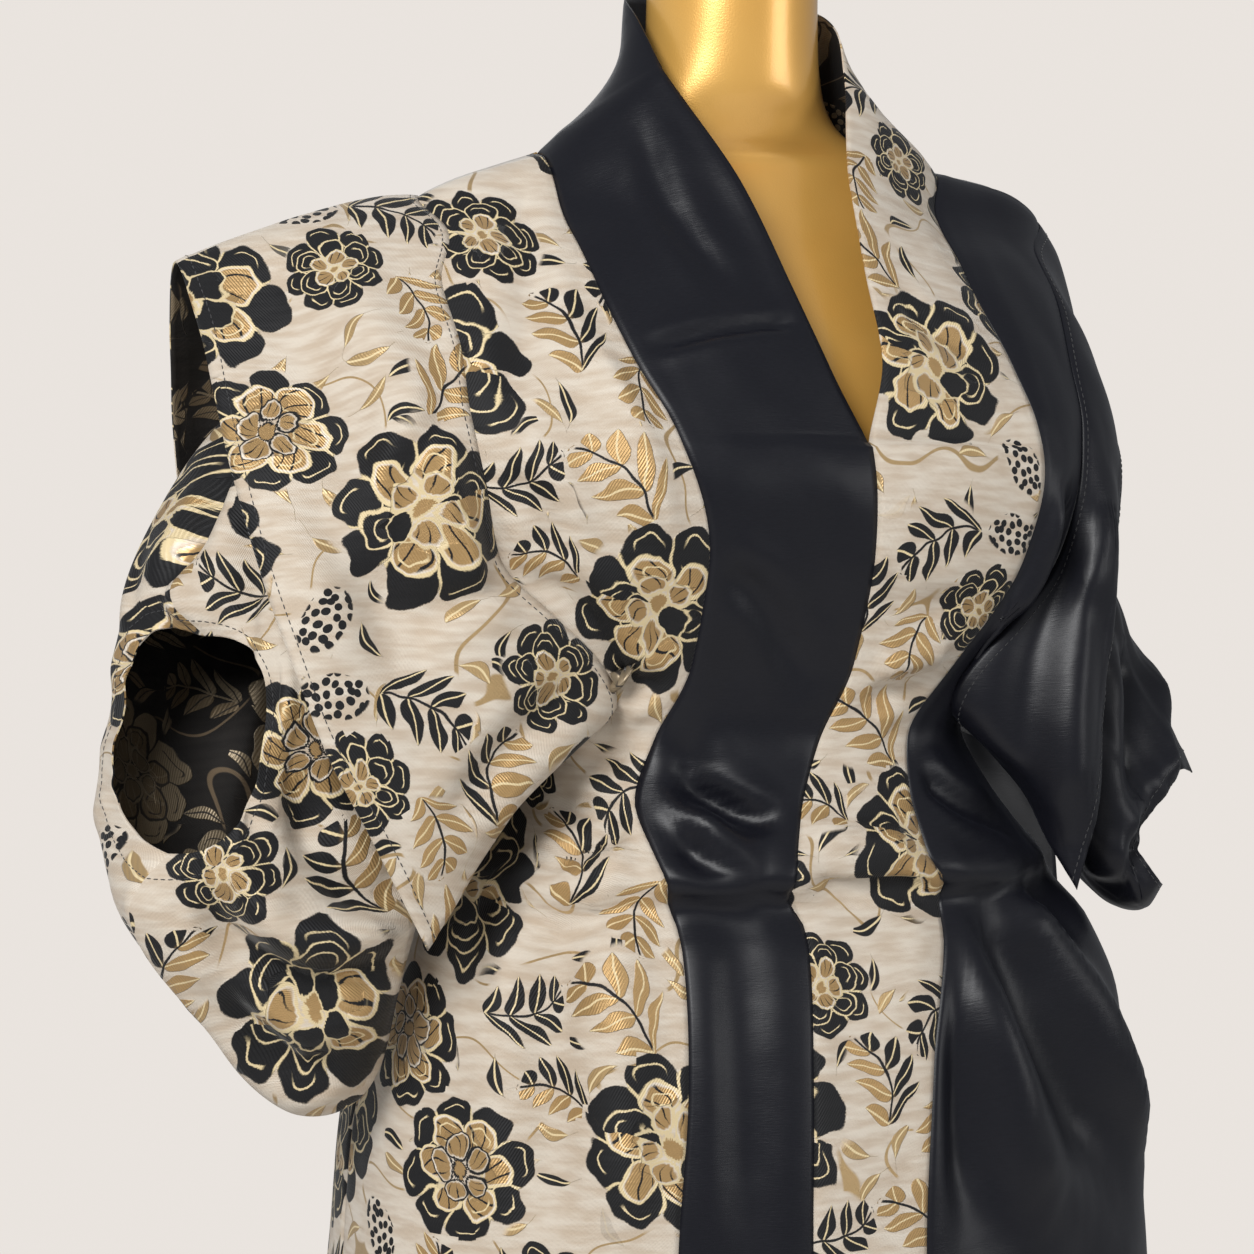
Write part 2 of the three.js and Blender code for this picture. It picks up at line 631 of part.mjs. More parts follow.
// A solid through rings of points, closed at both ends by a flat fan.
function ringSolid(rings) {
  const sides = rings[0].length;
  const vertices = rings.flat().flatMap((point) => [point.x, point.y, point.z]);
  const faces = [];
  for (let r = 0; r < rings.length - 1; r += 1) {
    for (let c = 0; c < sides; c += 1) {
      const a = r * sides + c;
      const b = r * sides + ((c + 1) % sides);
      faces.push(a, b, b + sides, a, b + sides, a + sides);
    }
  }
  const top = (rings.length - 1) * sides;
  for (let c = 1; c < sides - 1; c += 1) {
    faces.push(0, c + 1, c);
    faces.push(top, top + c, top + c + 1);
  }
  const geometry = new THREE.BufferGeometry();
  geometry.setAttribute("position", new THREE.Float32BufferAttribute(vertices, 3));
  geometry.setIndex(faces);
  return facingOut(geometry);
}

function dressForm() {
  const rings = FORM_SECTIONS.map(({ z, half, front, back, square }) => {
    const ring = [];
    for (let i = 0; i < FORM_SIDES; i += 1) {
      const angle = (2 * Math.PI * i) / FORM_SIDES;
      const across = Math.sin(angle);
      const along = Math.cos(angle);
      const depth = along > 0 ? front : back;
      const sum = Math.abs(across / half) ** square + Math.abs(along / depth) ** square;
      const reach = sum ** (-1 / square);
      ring.push(new THREE.Vector3(across * reach, -along * reach, z));
    }
    return ring;
  });
  return ringSolid(rings);
}

const POLE_RADIUS = 14;
const POLE_SIDES = 24;
const BASE_HEIGHT = 22;
const BASE_SIDES = 48;
// Half section of the base, from its underside at the axis to the boss that holds the pole.
const BASE_PROFILE = [
  { radius: 0, z: 0 },
  { radius: 166, z: 0 },
  { radius: 170, z: 4 },
  { radius: 170, z: 9 },
  { radius: 160, z: 14 },
  { radius: 60, z: 18 },
  { radius: 34, z: BASE_HEIGHT },
  { radius: 0, z: BASE_HEIGHT },
];

function pole() {
  const height = FORM_SECTIONS[0].z - BASE_HEIGHT - 2 * SEAM_GAP;
  const shape = new THREE.CylinderGeometry(POLE_RADIUS, POLE_RADIUS, height, POLE_SIDES);
  shape.rotateX(Math.PI / 2);
  shape.translate(0, 0, BASE_HEIGHT + SEAM_GAP + height / 2);
  return shape;
}

function base() {
  const profile = BASE_PROFILE.map(({ radius, z }) => new THREE.Vector2(radius, z));
  const shape = new THREE.LatheGeometry(profile, BASE_SIDES);
  shape.rotateX(Math.PI / 2);
  return shape;
}

// ---- The object ----
const BROCADE = { color: 0xdccbb0, roughness: 0.45, metalness: 0 };
const SATIN = { color: 0x15151b, roughness: 0.32, metalness: 0 };
const GOLD_FORM = { color: 0xe0a24a, roughness: 0.25, metalness: 0 };
const STAND_METAL = { color: 0xb8b8b8, roughness: 0.25, metalness: 1 };
const RIGHT = -1;
const LEFT = 1;

const dress = new THREE.Group();
function add(name, geometry, finish) {
  const mesh = new THREE.Mesh(geometry, new THREE.MeshStandardMaterial(finish));
  mesh.name = name;
  dress.add(mesh);
}

add("front_right", frontPanel(RIGHT, BAND_SEAM_RIGHT), BROCADE);
add("front_left", frontPanel(LEFT, BAND_SEAM_LEFT), SATIN);
add("back_right", backPanel(RIGHT), BROCADE);
add("back_left", backPanel(LEFT), SATIN);
add("band_right", band(RIGHT, BAND_SEAM_RIGHT, V_EDGE_RIGHT), SATIN);
add("band_left", band(LEFT, BAND_SEAM_LEFT, V_EDGE_LEFT), BROCADE);
add("sleeve_right", sleeve(RIGHT, SLEEVE_RIGHT), BROCADE);
add("sleeve_left", sleeve(LEFT, SLEEVE_LEFT), SATIN);
add("cape_right", cape(RIGHT, CAPE_RIGHT), BROCADE);
add("cape_left", cape(LEFT, CAPE_LEFT), SATIN);
add("dress_form", dressForm(), GOLD_FORM);
add("stand_pole", pole(), STAND_METAL);
add("stand_base", base(), STAND_METAL);

export default dress;
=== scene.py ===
# The half-and-half brocade and satin dress on its gold form: cloth shells with their creases, woven
# flowers, stitching, the glossy form, its stand, the floor, lights and camera.
# Tables are in millimetres, with the same sizes as the solids; objects are in metres.
import math

import bpy
import numpy as np
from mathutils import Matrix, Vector


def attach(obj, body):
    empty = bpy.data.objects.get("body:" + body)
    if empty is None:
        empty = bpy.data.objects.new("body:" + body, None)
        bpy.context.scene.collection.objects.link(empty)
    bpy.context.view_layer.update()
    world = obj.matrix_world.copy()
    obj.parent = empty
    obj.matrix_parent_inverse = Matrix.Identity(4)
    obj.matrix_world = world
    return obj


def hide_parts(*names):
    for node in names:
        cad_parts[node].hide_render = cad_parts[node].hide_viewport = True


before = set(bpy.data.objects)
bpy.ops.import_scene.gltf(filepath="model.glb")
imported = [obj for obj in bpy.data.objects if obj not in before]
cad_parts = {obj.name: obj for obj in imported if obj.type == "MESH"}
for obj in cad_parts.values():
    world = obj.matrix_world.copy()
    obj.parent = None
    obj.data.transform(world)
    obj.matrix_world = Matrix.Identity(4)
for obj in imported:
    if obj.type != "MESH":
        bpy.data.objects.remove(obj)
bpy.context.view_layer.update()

MM = 0.001
RIGHT, LEFT = -1, 1  # sides of the wearer, along X

# ---- Camera ----
AIM = Vector((-0.0620, 0.0226, 1.193))
AZIMUTH, ELEVATION, DISTANCE = math.radians(-20), math.radians(1.5), 1.9
LENS, SENSOR = 85.1, 36.0


def camera():
    data = bpy.data.cameras.new("camera")
    data.lens, data.sensor_width, data.clip_end = LENS, SENSOR, 50
    item = bpy.data.objects.new("camera", data)
    away = Vector((
        math.sin(AZIMUTH) * math.cos(ELEVATION),
        -math.cos(AZIMUTH) * math.cos(ELEVATION),
        math.sin(ELEVATION),
    ))
    item.location = AIM + away * DISTANCE
    item.rotation_euler = away.to_track_quat("Z", "Y").to_euler()
    bpy.context.scene.collection.objects.link(item)
    bpy.context.scene.camera = item


camera()

# ---- Sizes shared with the solids ----
FINE = 6  # rows and columns here for each one of the solids
HEM_Z, UNDERARM_Z, SHOULDER_TIP_Z = 230, 1138, 1455
NECK_SIDE_Z, BACK_NECK_Z, V_BOTTOM_Z = 1490, 1494, 1306
LOW_ROWS, ARM_ROWS = 17 * FINE, 17 * FINE
PANEL_COLUMNS, BACK_COLUMNS, BAND_COLUMNS = 9 * FINE, 10 * FINE, 4 * FINE
COLLAR_ROWS, CAPE_COLUMNS, SLEEVE_STEPS = 7 * FINE, 6 * FINE, 3 * FINE
SHOULDER_SHARE = 0.3  # of a back's columns end on the shoulder seam
CLOTH = 1.0  # thickness of the cloth shells

# columns: z, right, left, front, back, square
SECTIONS = np.array([
    (200, 290, 304, 217, 217, 2.1), (560, 273, 288, 203, 207, 2.1), (858, 256, 277, 184, 192, 2.1),
    (947, 240, 262, 170, 178, 2.15), (1005, 216, 235, 152, 158, 2.2), (1030, 199, 214, 139, 146, 2.2),
    (1046, 196, 208, 151, 143, 2.2), (1065, 178, 190, 143, 131, 2.2), (1095, 158, 168, 126, 116, 2.2),
    (1130, 147, 147, 116, 106, 2.3), (1160, 163, 158, 121, 106, 2.6), (1202, 198, 182, 136, 108, 3.2),
    (1240, 222, 198, 149, 110, 3.6), (1283, 238, 208, 156, 112, 3.8), (1320, 246, 214, 148, 112, 3.8),
    (1355, 248, 217, 130, 110, 3.6), (1400, 240, 219, 101, 102, 3.2), (1425, 230, 219, 81, 92, 2.8),
    (1446, 218, 219, 59, 76, 2.4), (1458, 208, 217, 50, 68, 2.2), (1470, 186, 208, 44, 62, 2.1),
    (1481, 156, 184, 39, 58, 2), (1490, 130, 138, 34, 55, 2), (1500, 108, 110, 31, 52, 2),
], dtype=float)
# columns: z, degrees of the front edge and of the back edge from the side line
ARMHOLE = np.array([
    (UNDERARM_Z, 0, 0), (1141, 20, 18), (1150, 38, 34), (1175, 38, 36), (1202, 34, 34), (1229, 30, 31),
    (1283, 30.5, 27), (1355, 25, 24), (1400, 17, 18), (1430, 12, 12), (SHOULDER_TIP_Z, 0, 0),
], dtype=float)
# columns: z, x
BAND_SEAM = {
    RIGHT: np.array([
        (HEM_Z, -104), (560, -104), (820, -102), (935, -91), (1018, -87), (1036, -92), (1059, -98),
        (1088, -103), (1128, -89), (1176, -73), (1233, -72), (1308, -92), (1357, -113), (1406, -125),
        (1452, -130), (NECK_SIDE_Z, -130),
    ], dtype=float),
    LEFT: np.array([
        (HEM_Z, 50), (560, 50), (820, 52), (935, 64), (1018, 84), (1036, 86), (1059, 74), (1088, 72),
        (1128, 77), (1172, 106), (1233, 140), (1295, 151), (1353, 140), (1410, 126), (1455, 124),
        (NECK_SIDE_Z, 138),
    ], dtype=float),
}
CENTRE_FRONT = np.array([
    (HEM_Z, -22), (820, -22), (935, -16), (1018, -10), (1036, -19), (1059, -15), (1086, -6), (1127, 12),
    (1174, 31), (1232, 34), (V_BOTTOM_Z, 30),
], dtype=float)
# columns: height of the row on the band's seam, then x, y and z on its free edge
V_EDGE = {
    RIGHT: np.array([
        (V_BOTTOM_Z, 30, -147, V_BOTTOM_Z), (1357, 8, -139, 1352), (1406, -8, -118, 1402),
        (1452, -29, -92, 1464), (NECK_SIDE_Z, -64, -47, 1538),
    ], dtype=float),
    LEFT: np.array([
        (V_BOTTOM_Z, 30, -147, V_BOTTOM_Z), (1353, 42, -141, 1358), (1410, 42, -119, 1406),
        (1455, 44, -90, 1466), (NECK_SIDE_Z, 62, -42, 1540),
    ], dtype=float),
}
COLLAR = np.array([
    (69, -14, 1574), (66, 18, 1592), (50, 47, 1600), (26, 62, 1602), (0, 66, 1602),
], dtype=float)
# each ring: its lowest, front, top and back point, and how full it is
SLEEVE_RINGS = {
    RIGHT: [
        ((-196, -24, 1098), (-212, -90, 1275), (-228, -2, 1408), (-226, 84, 1290), 1.05),
        ((-228, -48, 1000), (-246, -86, 1210), (-258, -5, 1368), (-262, 82, 1240), 1),
        ((-262, -64, 918), (-275, -94, 1162), (-294, -8, 1322), (-300, 78, 1195), 0.95),
        ((-302, -70, 912), (-296, -102, 1138), (-326, -12, 1280), (-338, 70, 1168), 0.9),
        ((-348, -72, 960), (-311, -107, 1122), (-352, -20, 1244), (-370, 54, 1158), 0.85),
        ((-402, -86, 1036), (-322, -109, 1120), (-366, -34, 1214), (-396, 22, 1148), 0.78),
        ((-382, -97, 1070), (-330, -105, 1132), (-350, -46, 1192), (-394, -12, 1146), 0.72),
    ],
    LEFT: [
        ((196, -24, 1100), (194, -82, 1275), (222, -2, 1404), (202, 78, 1280), 1.05),
        ((222, -40, 1050), (202, -82, 1215), (230, -5, 1345), (214, 76, 1225), 1),
        ((240, -52, 1020), (213, -88, 1170), (244, -8, 1290), (238, 78, 1190), 0.95),
        ((253, -60, 1010), (228, -92, 1135), (262, -14, 1224), (262, 68, 1150), 0.9),
        ((264, -66, 1010), (244, -92, 1100), (290, -26, 1158), (284, 46, 1112), 0.85),
        ((272, -74, 1026), (260, -86, 1072), (318, -36, 1094), (298, 12, 1076), 0.8),
    ],
}
CAPE_EDGE = {
    RIGHT: np.array([
        (-243, -140, 1014), (-272, -142, 1072), (-300, -136, 1128), (-322, -116, 1200), (-340, -78, 1290),
        (-352, -30, 1380), (-357, 2, 1414), (-350, 45, 1362), (-336, 88, 1270), (-316, 112, 1180),
        (-286, 122, 1100), (-245, 120, 1020),
    ], dtype=float),
    LEFT: np.array([
        (184, -124, 1030), (198, -124, 1090), (209, -120, 1160), (220, -110, 1230), (236, -82, 1294),
        (250, -34, 1318), (254, 4, 1322), (254, 42, 1310), (251, 86, 1250), (260, 106, 1168),
        (288, 110, 1082), (298, 108, 990),
    ], dtype=float),
}
# columns: z, half, front, back, square
FORM_SECTIONS = np.array([
    (800, 176, 108, 126, 2.2), (870, 182, 112, 136, 2.2), (930, 176, 112, 130, 2.2),
    (1000, 152, 106, 108, 2.2), (1060, 128, 98, 90, 2.2), (1110, 120, 94, 86, 2.2),
    (1160, 128, 102, 90, 2.2), (1220, 146, 122, 98, 2.3), (1275, 160, 134, 102, 2.3),
    (1330, 166, 120, 100, 2.3), (1380, 172, 98, 94, 2.3), (1420, 174, 76, 82, 2.2),
    (1451.2, 168, 54, 66, 2.1), (1467.4, 160, 44, 56, 2), (1480.5, 146, 36, 50, 2),
    (1490.1, 126, 31, 47, 2), (1500, 92, 36, 44, 2), (1514, 70, 42, 43, 2), (1532, 60, 50, 44, 2),
    (1560, 56, 54, 44, 2), (1600, 55, 58, 42, 2), (1632, 55, 60, 42, 2), (1644, 51, 57, 38, 2),
], dtype=float)


# ---- Curves ----
def table_lookup(rows, column, at):
    """Monotone cubic through the rows of a table, looked up by its first column."""
    x, y = rows[:, 0], rows[:, column]
    at = np.clip(np.asarray(at, dtype=float), x[0], x[-1])
    slopes = np.diff(y) / np.diff(x)
    tangents = np.empty_like(y)
    tangents[0], tangents[-1] = slopes[0], slopes[-1]
    a, b = slopes[:-1], slopes[1:]
    same = a * b > 0
    tangents[1:-1] = np.where(same, 2 * a * b / np.where(same, a + b, 1), 0)
    i = np.clip(np.searchsorted(x, at, side="right") - 1, 0, len(x) - 2)
    step = x[i + 1] - x[i]
    t = (at - x[i]) / step
    return (
        (2 * t**3 - 3 * t**2 + 1) * y[i] + (t**3 - 2 * t**2 + t) * step * tangents[i]
        + (3 * t**2 - 2 * t**3) * y[i + 1] + (t**3 - t**2) * step * tangents[i + 1]
    )


def smooth_line(points, at):
    """Centripetal Catmull-Rom through points (first axis) at shares `at` of their number."""
    points = np.asarray(points, dtype=float)
    first, last = 2 * points[0] - points[1], 2 * points[-1] - points[-2]
    padded = np.concatenate([first[None], points, last[None]])
    gaps = np.sum(np.diff(padded, axis=0) ** 2, axis=-1, keepdims=True) ** 0.25
    gaps = np.maximum(gaps, 1e-6)
    spans = len(points) - 1
    place = np.clip(np.asarray(at, dtype=float), 0, 1) * spans
    i = np.minimum(place.astype(int), spans - 1)
    w = (place - i).reshape((-1,) + (1,) * (points.ndim - 1))
    x0, x1, x2, x3 = padded[i], padded[i + 1], padded[i + 2], padded[i + 3]
    g0, g1, g2 = gaps[i], gaps[i + 1], gaps[i + 2]
    t1 = ((x1 - x0) / g0 - (x2 - x0) / (g0 + g1) + (x2 - x1) / g1) * g1
    t2 = ((x2 - x1) / g1 - (x3 - x1) / (g1 + g2) + (x3 - x2) / g2) * g1
    c2, c3 = -3 * x1 + 3 * x2 - 2 * t1 - t2, 2 * x1 - 2 * x2 + t1 + t2
    return x1 + t1 * w + c2 * w**2 + c3 * w**3


def even_steps(points, steps):
    """Points at even distances along a smooth line."""
    dense = smooth_line(points, np.linspace(0, 1, 3001))
    along = np.concatenate([[0], np.cumsum(np.linalg.norm(np.diff(dense, axis=0), axis=-1))])
    want = np.linspace(0, along[-1], steps + 1)
    return np.stack([np.interp(want, along, dense[:, k]) for k in range(dense.shape[1])], axis=-1)


def unit(vectors):
    return vectors / np.maximum(np.linalg.norm(vectors, axis=-1, keepdims=True), 1e-9)


def soft_step(at, low, high):
    t = np.clip((at - low) / (high - low), 0, 1)
    return t * t * (3 - 2 * t)


# ---- The body of the dress ----
def skirt_fold(side, angle, z):
    """Soft lengthwise folds of the skirt, deepest at the hem."""
    fold_top, fold_depth, folds = 1020, 13, 5
    drop = np.clip((fold_top - z) / (fold_top - HEM_Z), 0, None)
    wave = np.cos(np.radians(2 * folds * angle + 25 * side))
    return fold_depth * drop * wave * np.sin(np.radians(angle)) ** 2


def body_point(side, angle, z):
    side, angle, z = np.broadcast_arrays(np.asarray(side, dtype=float), angle, z)
    half = np.where(side < 0, table_lookup(SECTIONS, 1, z), table_lookup(SECTIONS, 2, z))
    depth = np.where(angle < 90, table_lookup(SECTIONS, 3, z), table_lookup(SECTIONS, 4, z))
    square = table_lookup(SECTIONS, 5, z)
    across, along = np.sin(np.radians(angle)), np.cos(np.radians(angle))
    total = (np.abs(across) / half) ** square + (np.abs(along) / depth) ** square
    reach = total ** (-1 / square) + skirt_fold(side, angle, z)
    return np.stack([side * across * reach, -along * reach, z], axis=-1)


def body_normal(side, angle, z):
    step = 0.5
    low, high = np.maximum(angle - step, 0), np.minimum(angle + step, 180)
    around = body_point(side, high, z) - body_point(side, low, z)
    up = body_point(side, angle, z + step) - body_point(side, angle, z - step)
    return unit(np.cross(around, up) * np.asarray(side)[..., None])


def front_angle(x, z):
    half = np.where(x < 0, table_lookup(SECTIONS, 1, z), table_lookup(SECTIONS, 2, z))
    depth, square = table_lookup(SECTIONS, 3, z), table_lookup(SECTIONS, 5, z)
    share = np.minimum(np.abs(x) / half, 1)
    y = depth * (1 - share**square) ** (1 / square)
    return np.degrees(np.arctan2(np.abs(x), y))


def low_rise(t):
    return 1 - (1 - t) ** 1.35


def outer_line(edge):
    """Angle and height where the rows of a panel meet the side seam and then the armhole."""
    t = np.arange(LOW_ROWS) / LOW_ROWS
    column, sign = (1, -1) if edge == "front" else (2, 1)
    arm = even_steps(np.stack([ARMHOLE[:, column] * 3, ARMHOLE[:, 0]], axis=-1), ARM_ROWS)
    angle = np.concatenate([np.full(LOW_ROWS, 90.0), 90 + sign * arm[:, 0] / 3])
    z = np.concatenate([HEM_Z + (UNDERARM_Z - HEM_Z) * low_rise(t), arm[:, 1]])
    return angle, z


def seam_line(side):
    """x and height where the rows of a front panel meet its band, up to the shoulder seam."""
    waist_z = 1118
    low = HEM_Z + (waist_z - HEM_Z) * low_rise(np.arange(LOW_ROWS) / LOW_ROWS)
    high = waist_z + (NECK_SIDE_Z - waist_z) * (np.arange(ARM_ROWS + 1) / ARM_ROWS) ** 0.92
    z = np.concatenate([low, high])
    return table_lookup(BAND_SEAM[side], 1, z), z


# ---- Grids: rows, columns, and x, y, z, in millimetres ----
def grid_normals(grid, outward, closed=False):
    if closed:
        along = np.roll(grid, -1, axis=1) - np.roll(grid, 1, axis=1)
    else:
        along = np.gradient(grid, axis=1)
    return unit(np.cross(along, np.gradient(grid, axis=0))) * outward


def front_grid(side):
    x, z = seam_line(side)
    angle = front_angle(x, z)
    angle[-1] = 90
    outer_angle, outer_z = outer_line("front")
    t = np.linspace(0, 1, PANEL_COLUMNS + 1)[None]
    return body_point(side, angle[:, None] * (1 - t) + outer_angle[:, None] * t,
                      z[:, None] * (1 - t) + outer_z[:, None] * t)


def back_grid(side):
    angle, z = outer_line("back")
    v = np.linspace(0, 1, len(z))[:, None]
    t = np.linspace(0, 1, BACK_COLUMNS + 1)[None]
    u = np.clip((t - SHOULDER_SHARE) / (1 - SHOULDER_SHARE), 0, 1)
    top_angle = 90 + 90 * u
    shoulder_z = SHOULDER_TIP_Z + (NECK_SIDE_Z - SHOULDER_TIP_Z) * t / SHOULDER_SHARE
    top_z = np.where(t <= SHOULDER_SHARE, shoulder_z, NECK_SIDE_Z + (BACK_NECK_Z - NECK_SIDE_Z) * u)
    centre_z = HEM_Z + (BACK_NECK_Z - HEM_Z) * (1 - (1 - v) ** 1.12)
    pull = v**5
    straight_z = SHOULDER_TIP_Z + (BACK_NECK_Z - SHOULDER_TIP_Z) * t
    return body_point(side,
                      angle[:, None] * (1 - t) + 180 * t + pull * (top_angle - 90 - 90 * t),
                      z[:, None] * (1 - t) + centre_z * t + pull * (top_z - straight_z))


def band_grid(side):
    crown = 3
    x, z = seam_line(side)
    t = np.linspace(0, 1, BAND_COLUMNS + 1)
    angle = front_angle(x, z)
    angle[-1] = 90
    start = body_point(side, angle, z)
    centre = table_lookup(CENTRE_FRONT, 1, z)
    across = x[:, None] * (1 - t) + centre[:, None] * t
    row_z = np.broadcast_to(z[:, None], across.shape)
    low = body_point(np.where(across < 0, -1, 1), front_angle(across, row_z), row_z)
    free = np.stack([table_lookup(V_EDGE[side], k, z) for k in (1, 2, 3)], axis=-1)
    high = start[:, None] * (1 - t)[:, None] + free[:, None] * t[:, None]
    rise = soft_step(z, V_BOTTOM_Z, V_BOTTOM_Z + 60)[:, None]
    high[..., 1] -= crown * 4 * t * (1 - t) * rise
    rows = np.where((z <= V_BOTTOM_Z)[:, None, None], low, high)
    line = np.concatenate([rows[-1, -1][None], COLLAR * (side, 1, 1)])
    collar = even_steps(line, COLLAR_ROWS)[1:]
    turn = np.arange(1, COLLAR_ROWS + 1) / COLLAR_ROWS
    neck = body_point(side, 90 + 90 * turn, NECK_SIDE_Z + (BACK_NECK_Z - NECK_SIDE_Z) * turn)
    behind = neck[:, None] * (1 - t)[:, None] + collar[:, None] * t[:, None]
    return np.concatenate([rows, behind])


def armhole_loop(side):
    """The armhole's seam line and its normals, from the underarm up the front and down the back."""
    front_a, front_z = outer_line("front")
    back_a, back_z = outer_line("back")
    angle = np.concatenate([front_a[LOW_ROWS:], back_a[LOW_ROWS + 1:-1][::-1]])
    z = np.concatenate([front_z[LOW_ROWS:], back_z[LOW_ROWS + 1:-1][::-1]])
    return body_point(side, angle, z), body_normal(side, angle, z)


def outward(loop, normals, distance):
    along = np.roll(loop, -1, axis=0) - np.roll(loop, 1, axis=0)
    away = unit(np.cross(along, normals))
    inward = np.sum(away * (loop.mean(axis=0) - loop), axis=-1) < 0
    return loop + np.where(inward[:, None], -away, away) * distance


def ring_points(ring, turn):
    low, front, top, back = (np.array(point, dtype=float) for point in ring[:4])
    middle, rise = (low + top) / 2, (top - low) / 2
    wave_up, wave_out = -np.cos(2 * np.pi * turn), np.abs(np.sin(2 * np.pi * turn))
    up = np.sign(wave_up) * np.abs(wave_up) ** ring[4]
    reach = np.where((turn < 0.5)[:, None], front - middle, back - middle)
    return middle + up[:, None] * rise + (wave_out ** ring[4])[:, None] * reach


def sleeve_grid(side):
    start_gap, lap = -3, CLOTH + 0.4  # how far the sleeve starts beyond the armhole, and over the panel
    loop, normals = armhole_loop(side)
    turn = np.arange(len(loop)) / len(loop)
    start = outward(loop, normals, start_gap) + normals * lap
    rings = np.stack([start] + [ring_points(ring, turn) for ring in SLEEVE_RINGS[side]])
    share = np.linspace(0, 1, (len(rings) - 1) * SLEEVE_STEPS + 1)
    grid = smooth_line(rings, share)
    depth, at, half_width, begin, end = 15, 0.13, 0.055, 0.22, 0.82
    fade = np.sin(np.pi * np.clip((share - begin) / (end - begin), 0, 1))[:, None]
    scoop = depth * fade * np.exp(-(((turn - at) / half_width) ** 2))[None]
    return grid + grid_normals(grid, -side, True) * scoop[..., None]


def cape_grid(side):
    lap, lift, first, crown = 7, CLOTH + 0.1, 3 * FINE, 9
    loop, normals = armhole_loop(side)
    seam = outward(loop, normals, -lap) + normals * lift
    seam, normals = seam[first:len(loop) - first + 1], normals[first:len(loop) - first + 1]
    free = even_steps(CAPE_EDGE[side], len(seam) - 1)
    t = np.linspace(0, 1, CAPE_COLUMNS + 1)[:, None, None]
    return seam * (1 - t) + free * t + normals * (crown * 4 * t * (1 - t))


# ---- Shells ----
def running_sum(steps, axis):
    pad = [(1, 0) if k == axis else (0, 0) for k in range(steps.ndim)]
    return np.cumsum(np.pad(steps, pad), axis=axis)


def cloth_sizes(grid):
    """Distances across and up the cloth at each point of a grid, in centimetres, each along its threads."""
    u = running_sum(np.linalg.norm(np.diff(grid, axis=1), axis=-1), 1)
    around = unit(np.gradient(grid, axis=1))
    up = np.diff(grid, axis=0)
    slide = np.sum(up * (around[:-1] + around[1:]) / 2, axis=-1)
    rise = np.sqrt(np.maximum(np.sum(up * up, axis=-1) - slide**2, 0))
    shift = (slide - np.diff(u, axis=0)).mean(axis=1)
    return np.stack([u + running_sum(shift, 0)[:, None], running_sum(rise, 0)], axis=-1) / 10


def body_sizes(grid, side, back):
    """Distances round the body from the centre line, and heights, in centimetres."""
    around = running_sum(np.linalg.norm(np.diff(grid[..., :2], axis=1), axis=-1), 1)
    around = around - around[:, -1:] if back else around + side * grid[:, :1, 0]
    return np.stack([around, grid[..., 2]], axis=-1) / 10


def laid_flat(grid, normals):
    """Distances across and up a bag's side in centimetres, as it lies flat under its mean normal."""
    facing = unit(normals.mean(axis=(0, 1)))
    across = unit(np.cross((0, 0, 1), facing))
    return grid @ np.stack([across, np.cross(facing, across)], axis=-1) / 10


def cloth_sides(node, grid, normals, closed):
    """The cloth sizes that the front half and the back half of a piece's columns go by."""
    if node.startswith("band"):
        return [cloth_sizes(grid)] * 2
    if node.startswith(("front", "back")):
        side = RIGHT if node.endswith("right") else LEFT
        return [body_sizes(grid, side, node.startswith("back"))] * 2
    middle = grid.shape[1] // 2
    whole = np.append(grid, grid[:, :1], axis=1) if closed else grid
    return [laid_flat(whole, normals[:, :middle]), laid_flat(whole, normals[:, middle:])]


def add_mesh(name, vertices, faces):
    mesh = bpy.data.meshes.new(name)
    mesh.from_pydata(np.asarray(vertices).tolist(), [], faces)
    item = bpy.data.objects.new(name, mesh)
    bpy.context.scene.collection.objects.link(item)
    return item


def soft_noise(u, v, seed):
    """Smooth noise from -1 to 1, with a step of 1."""
    size = 64
    lattice = np.random.default_rng(seed).uniform(-1, 1, (size, size))
    i, j = np.floor(u).astype(int), np.floor(v).astype(int)
    a, b = soft_step(u - i, 0, 1), soft_step(v - j, 0, 1)
    i, j, i_next, j_next = i % size, j % size, (i + 1) % size, (j + 1) % size
    low = lattice[i, j] * (1 - a) + lattice[i_next, j] * a
    high = lattice[i, j_next] * (1 - a) + lattice[i_next, j_next] * a
    return low * (1 - b) + high * b


RELIEF = 1.9  # of the creases


def crease_offset(grid, depth, width, points):
    """A soft trough along a line of points, with a low ridge on each side; a negative depth is a ridge."""
    line_points, end_depth, end_slope = 40, 0.2, 4
    ridge, ridge_at, ridge_width = 0.32, 1.9, 0.9  # in depths and widths of the trough
    flat = grid.reshape(-1, 3)
    nearest = [np.argmin(np.linalg.norm(flat - point, axis=-1)) for point in points]
    line = smooth_line(flat[nearest], np.linspace(0, 1, line_points))
    gaps = np.linalg.norm(flat[:, None] - line[None], axis=-1)
    place = gaps.argmin(axis=1) / (len(line) - 1)
    gap = gaps.min(axis=1) / width
    taper = np.clip(end_slope * np.minimum(place, 1 - place) + end_depth, 0, 1)
    trough = np.exp(-gap**2) - ridge * np.exp(-(((gap - ridge_at) / ridge_width) ** 2))
    return (-RELIEF * depth * trough * taper).reshape(grid.shape[:2])


# which edges of a piece are sewn
SEWN = {
    "front": ("start", "end", "top"), "back": ("start", "end", "top"), "band": ("start", "end", "top"),
    "sleeve": ("low",), "cape": ("low",),
}
# which edge of a piece ends in a hem, and the hem's width in millimetres
HEMS = {
    "front": ("low", 20), "back": ("low", 20), "band": ("low", 20), "sleeve": ("top", 17),
    "cape": ("top", 9),
}
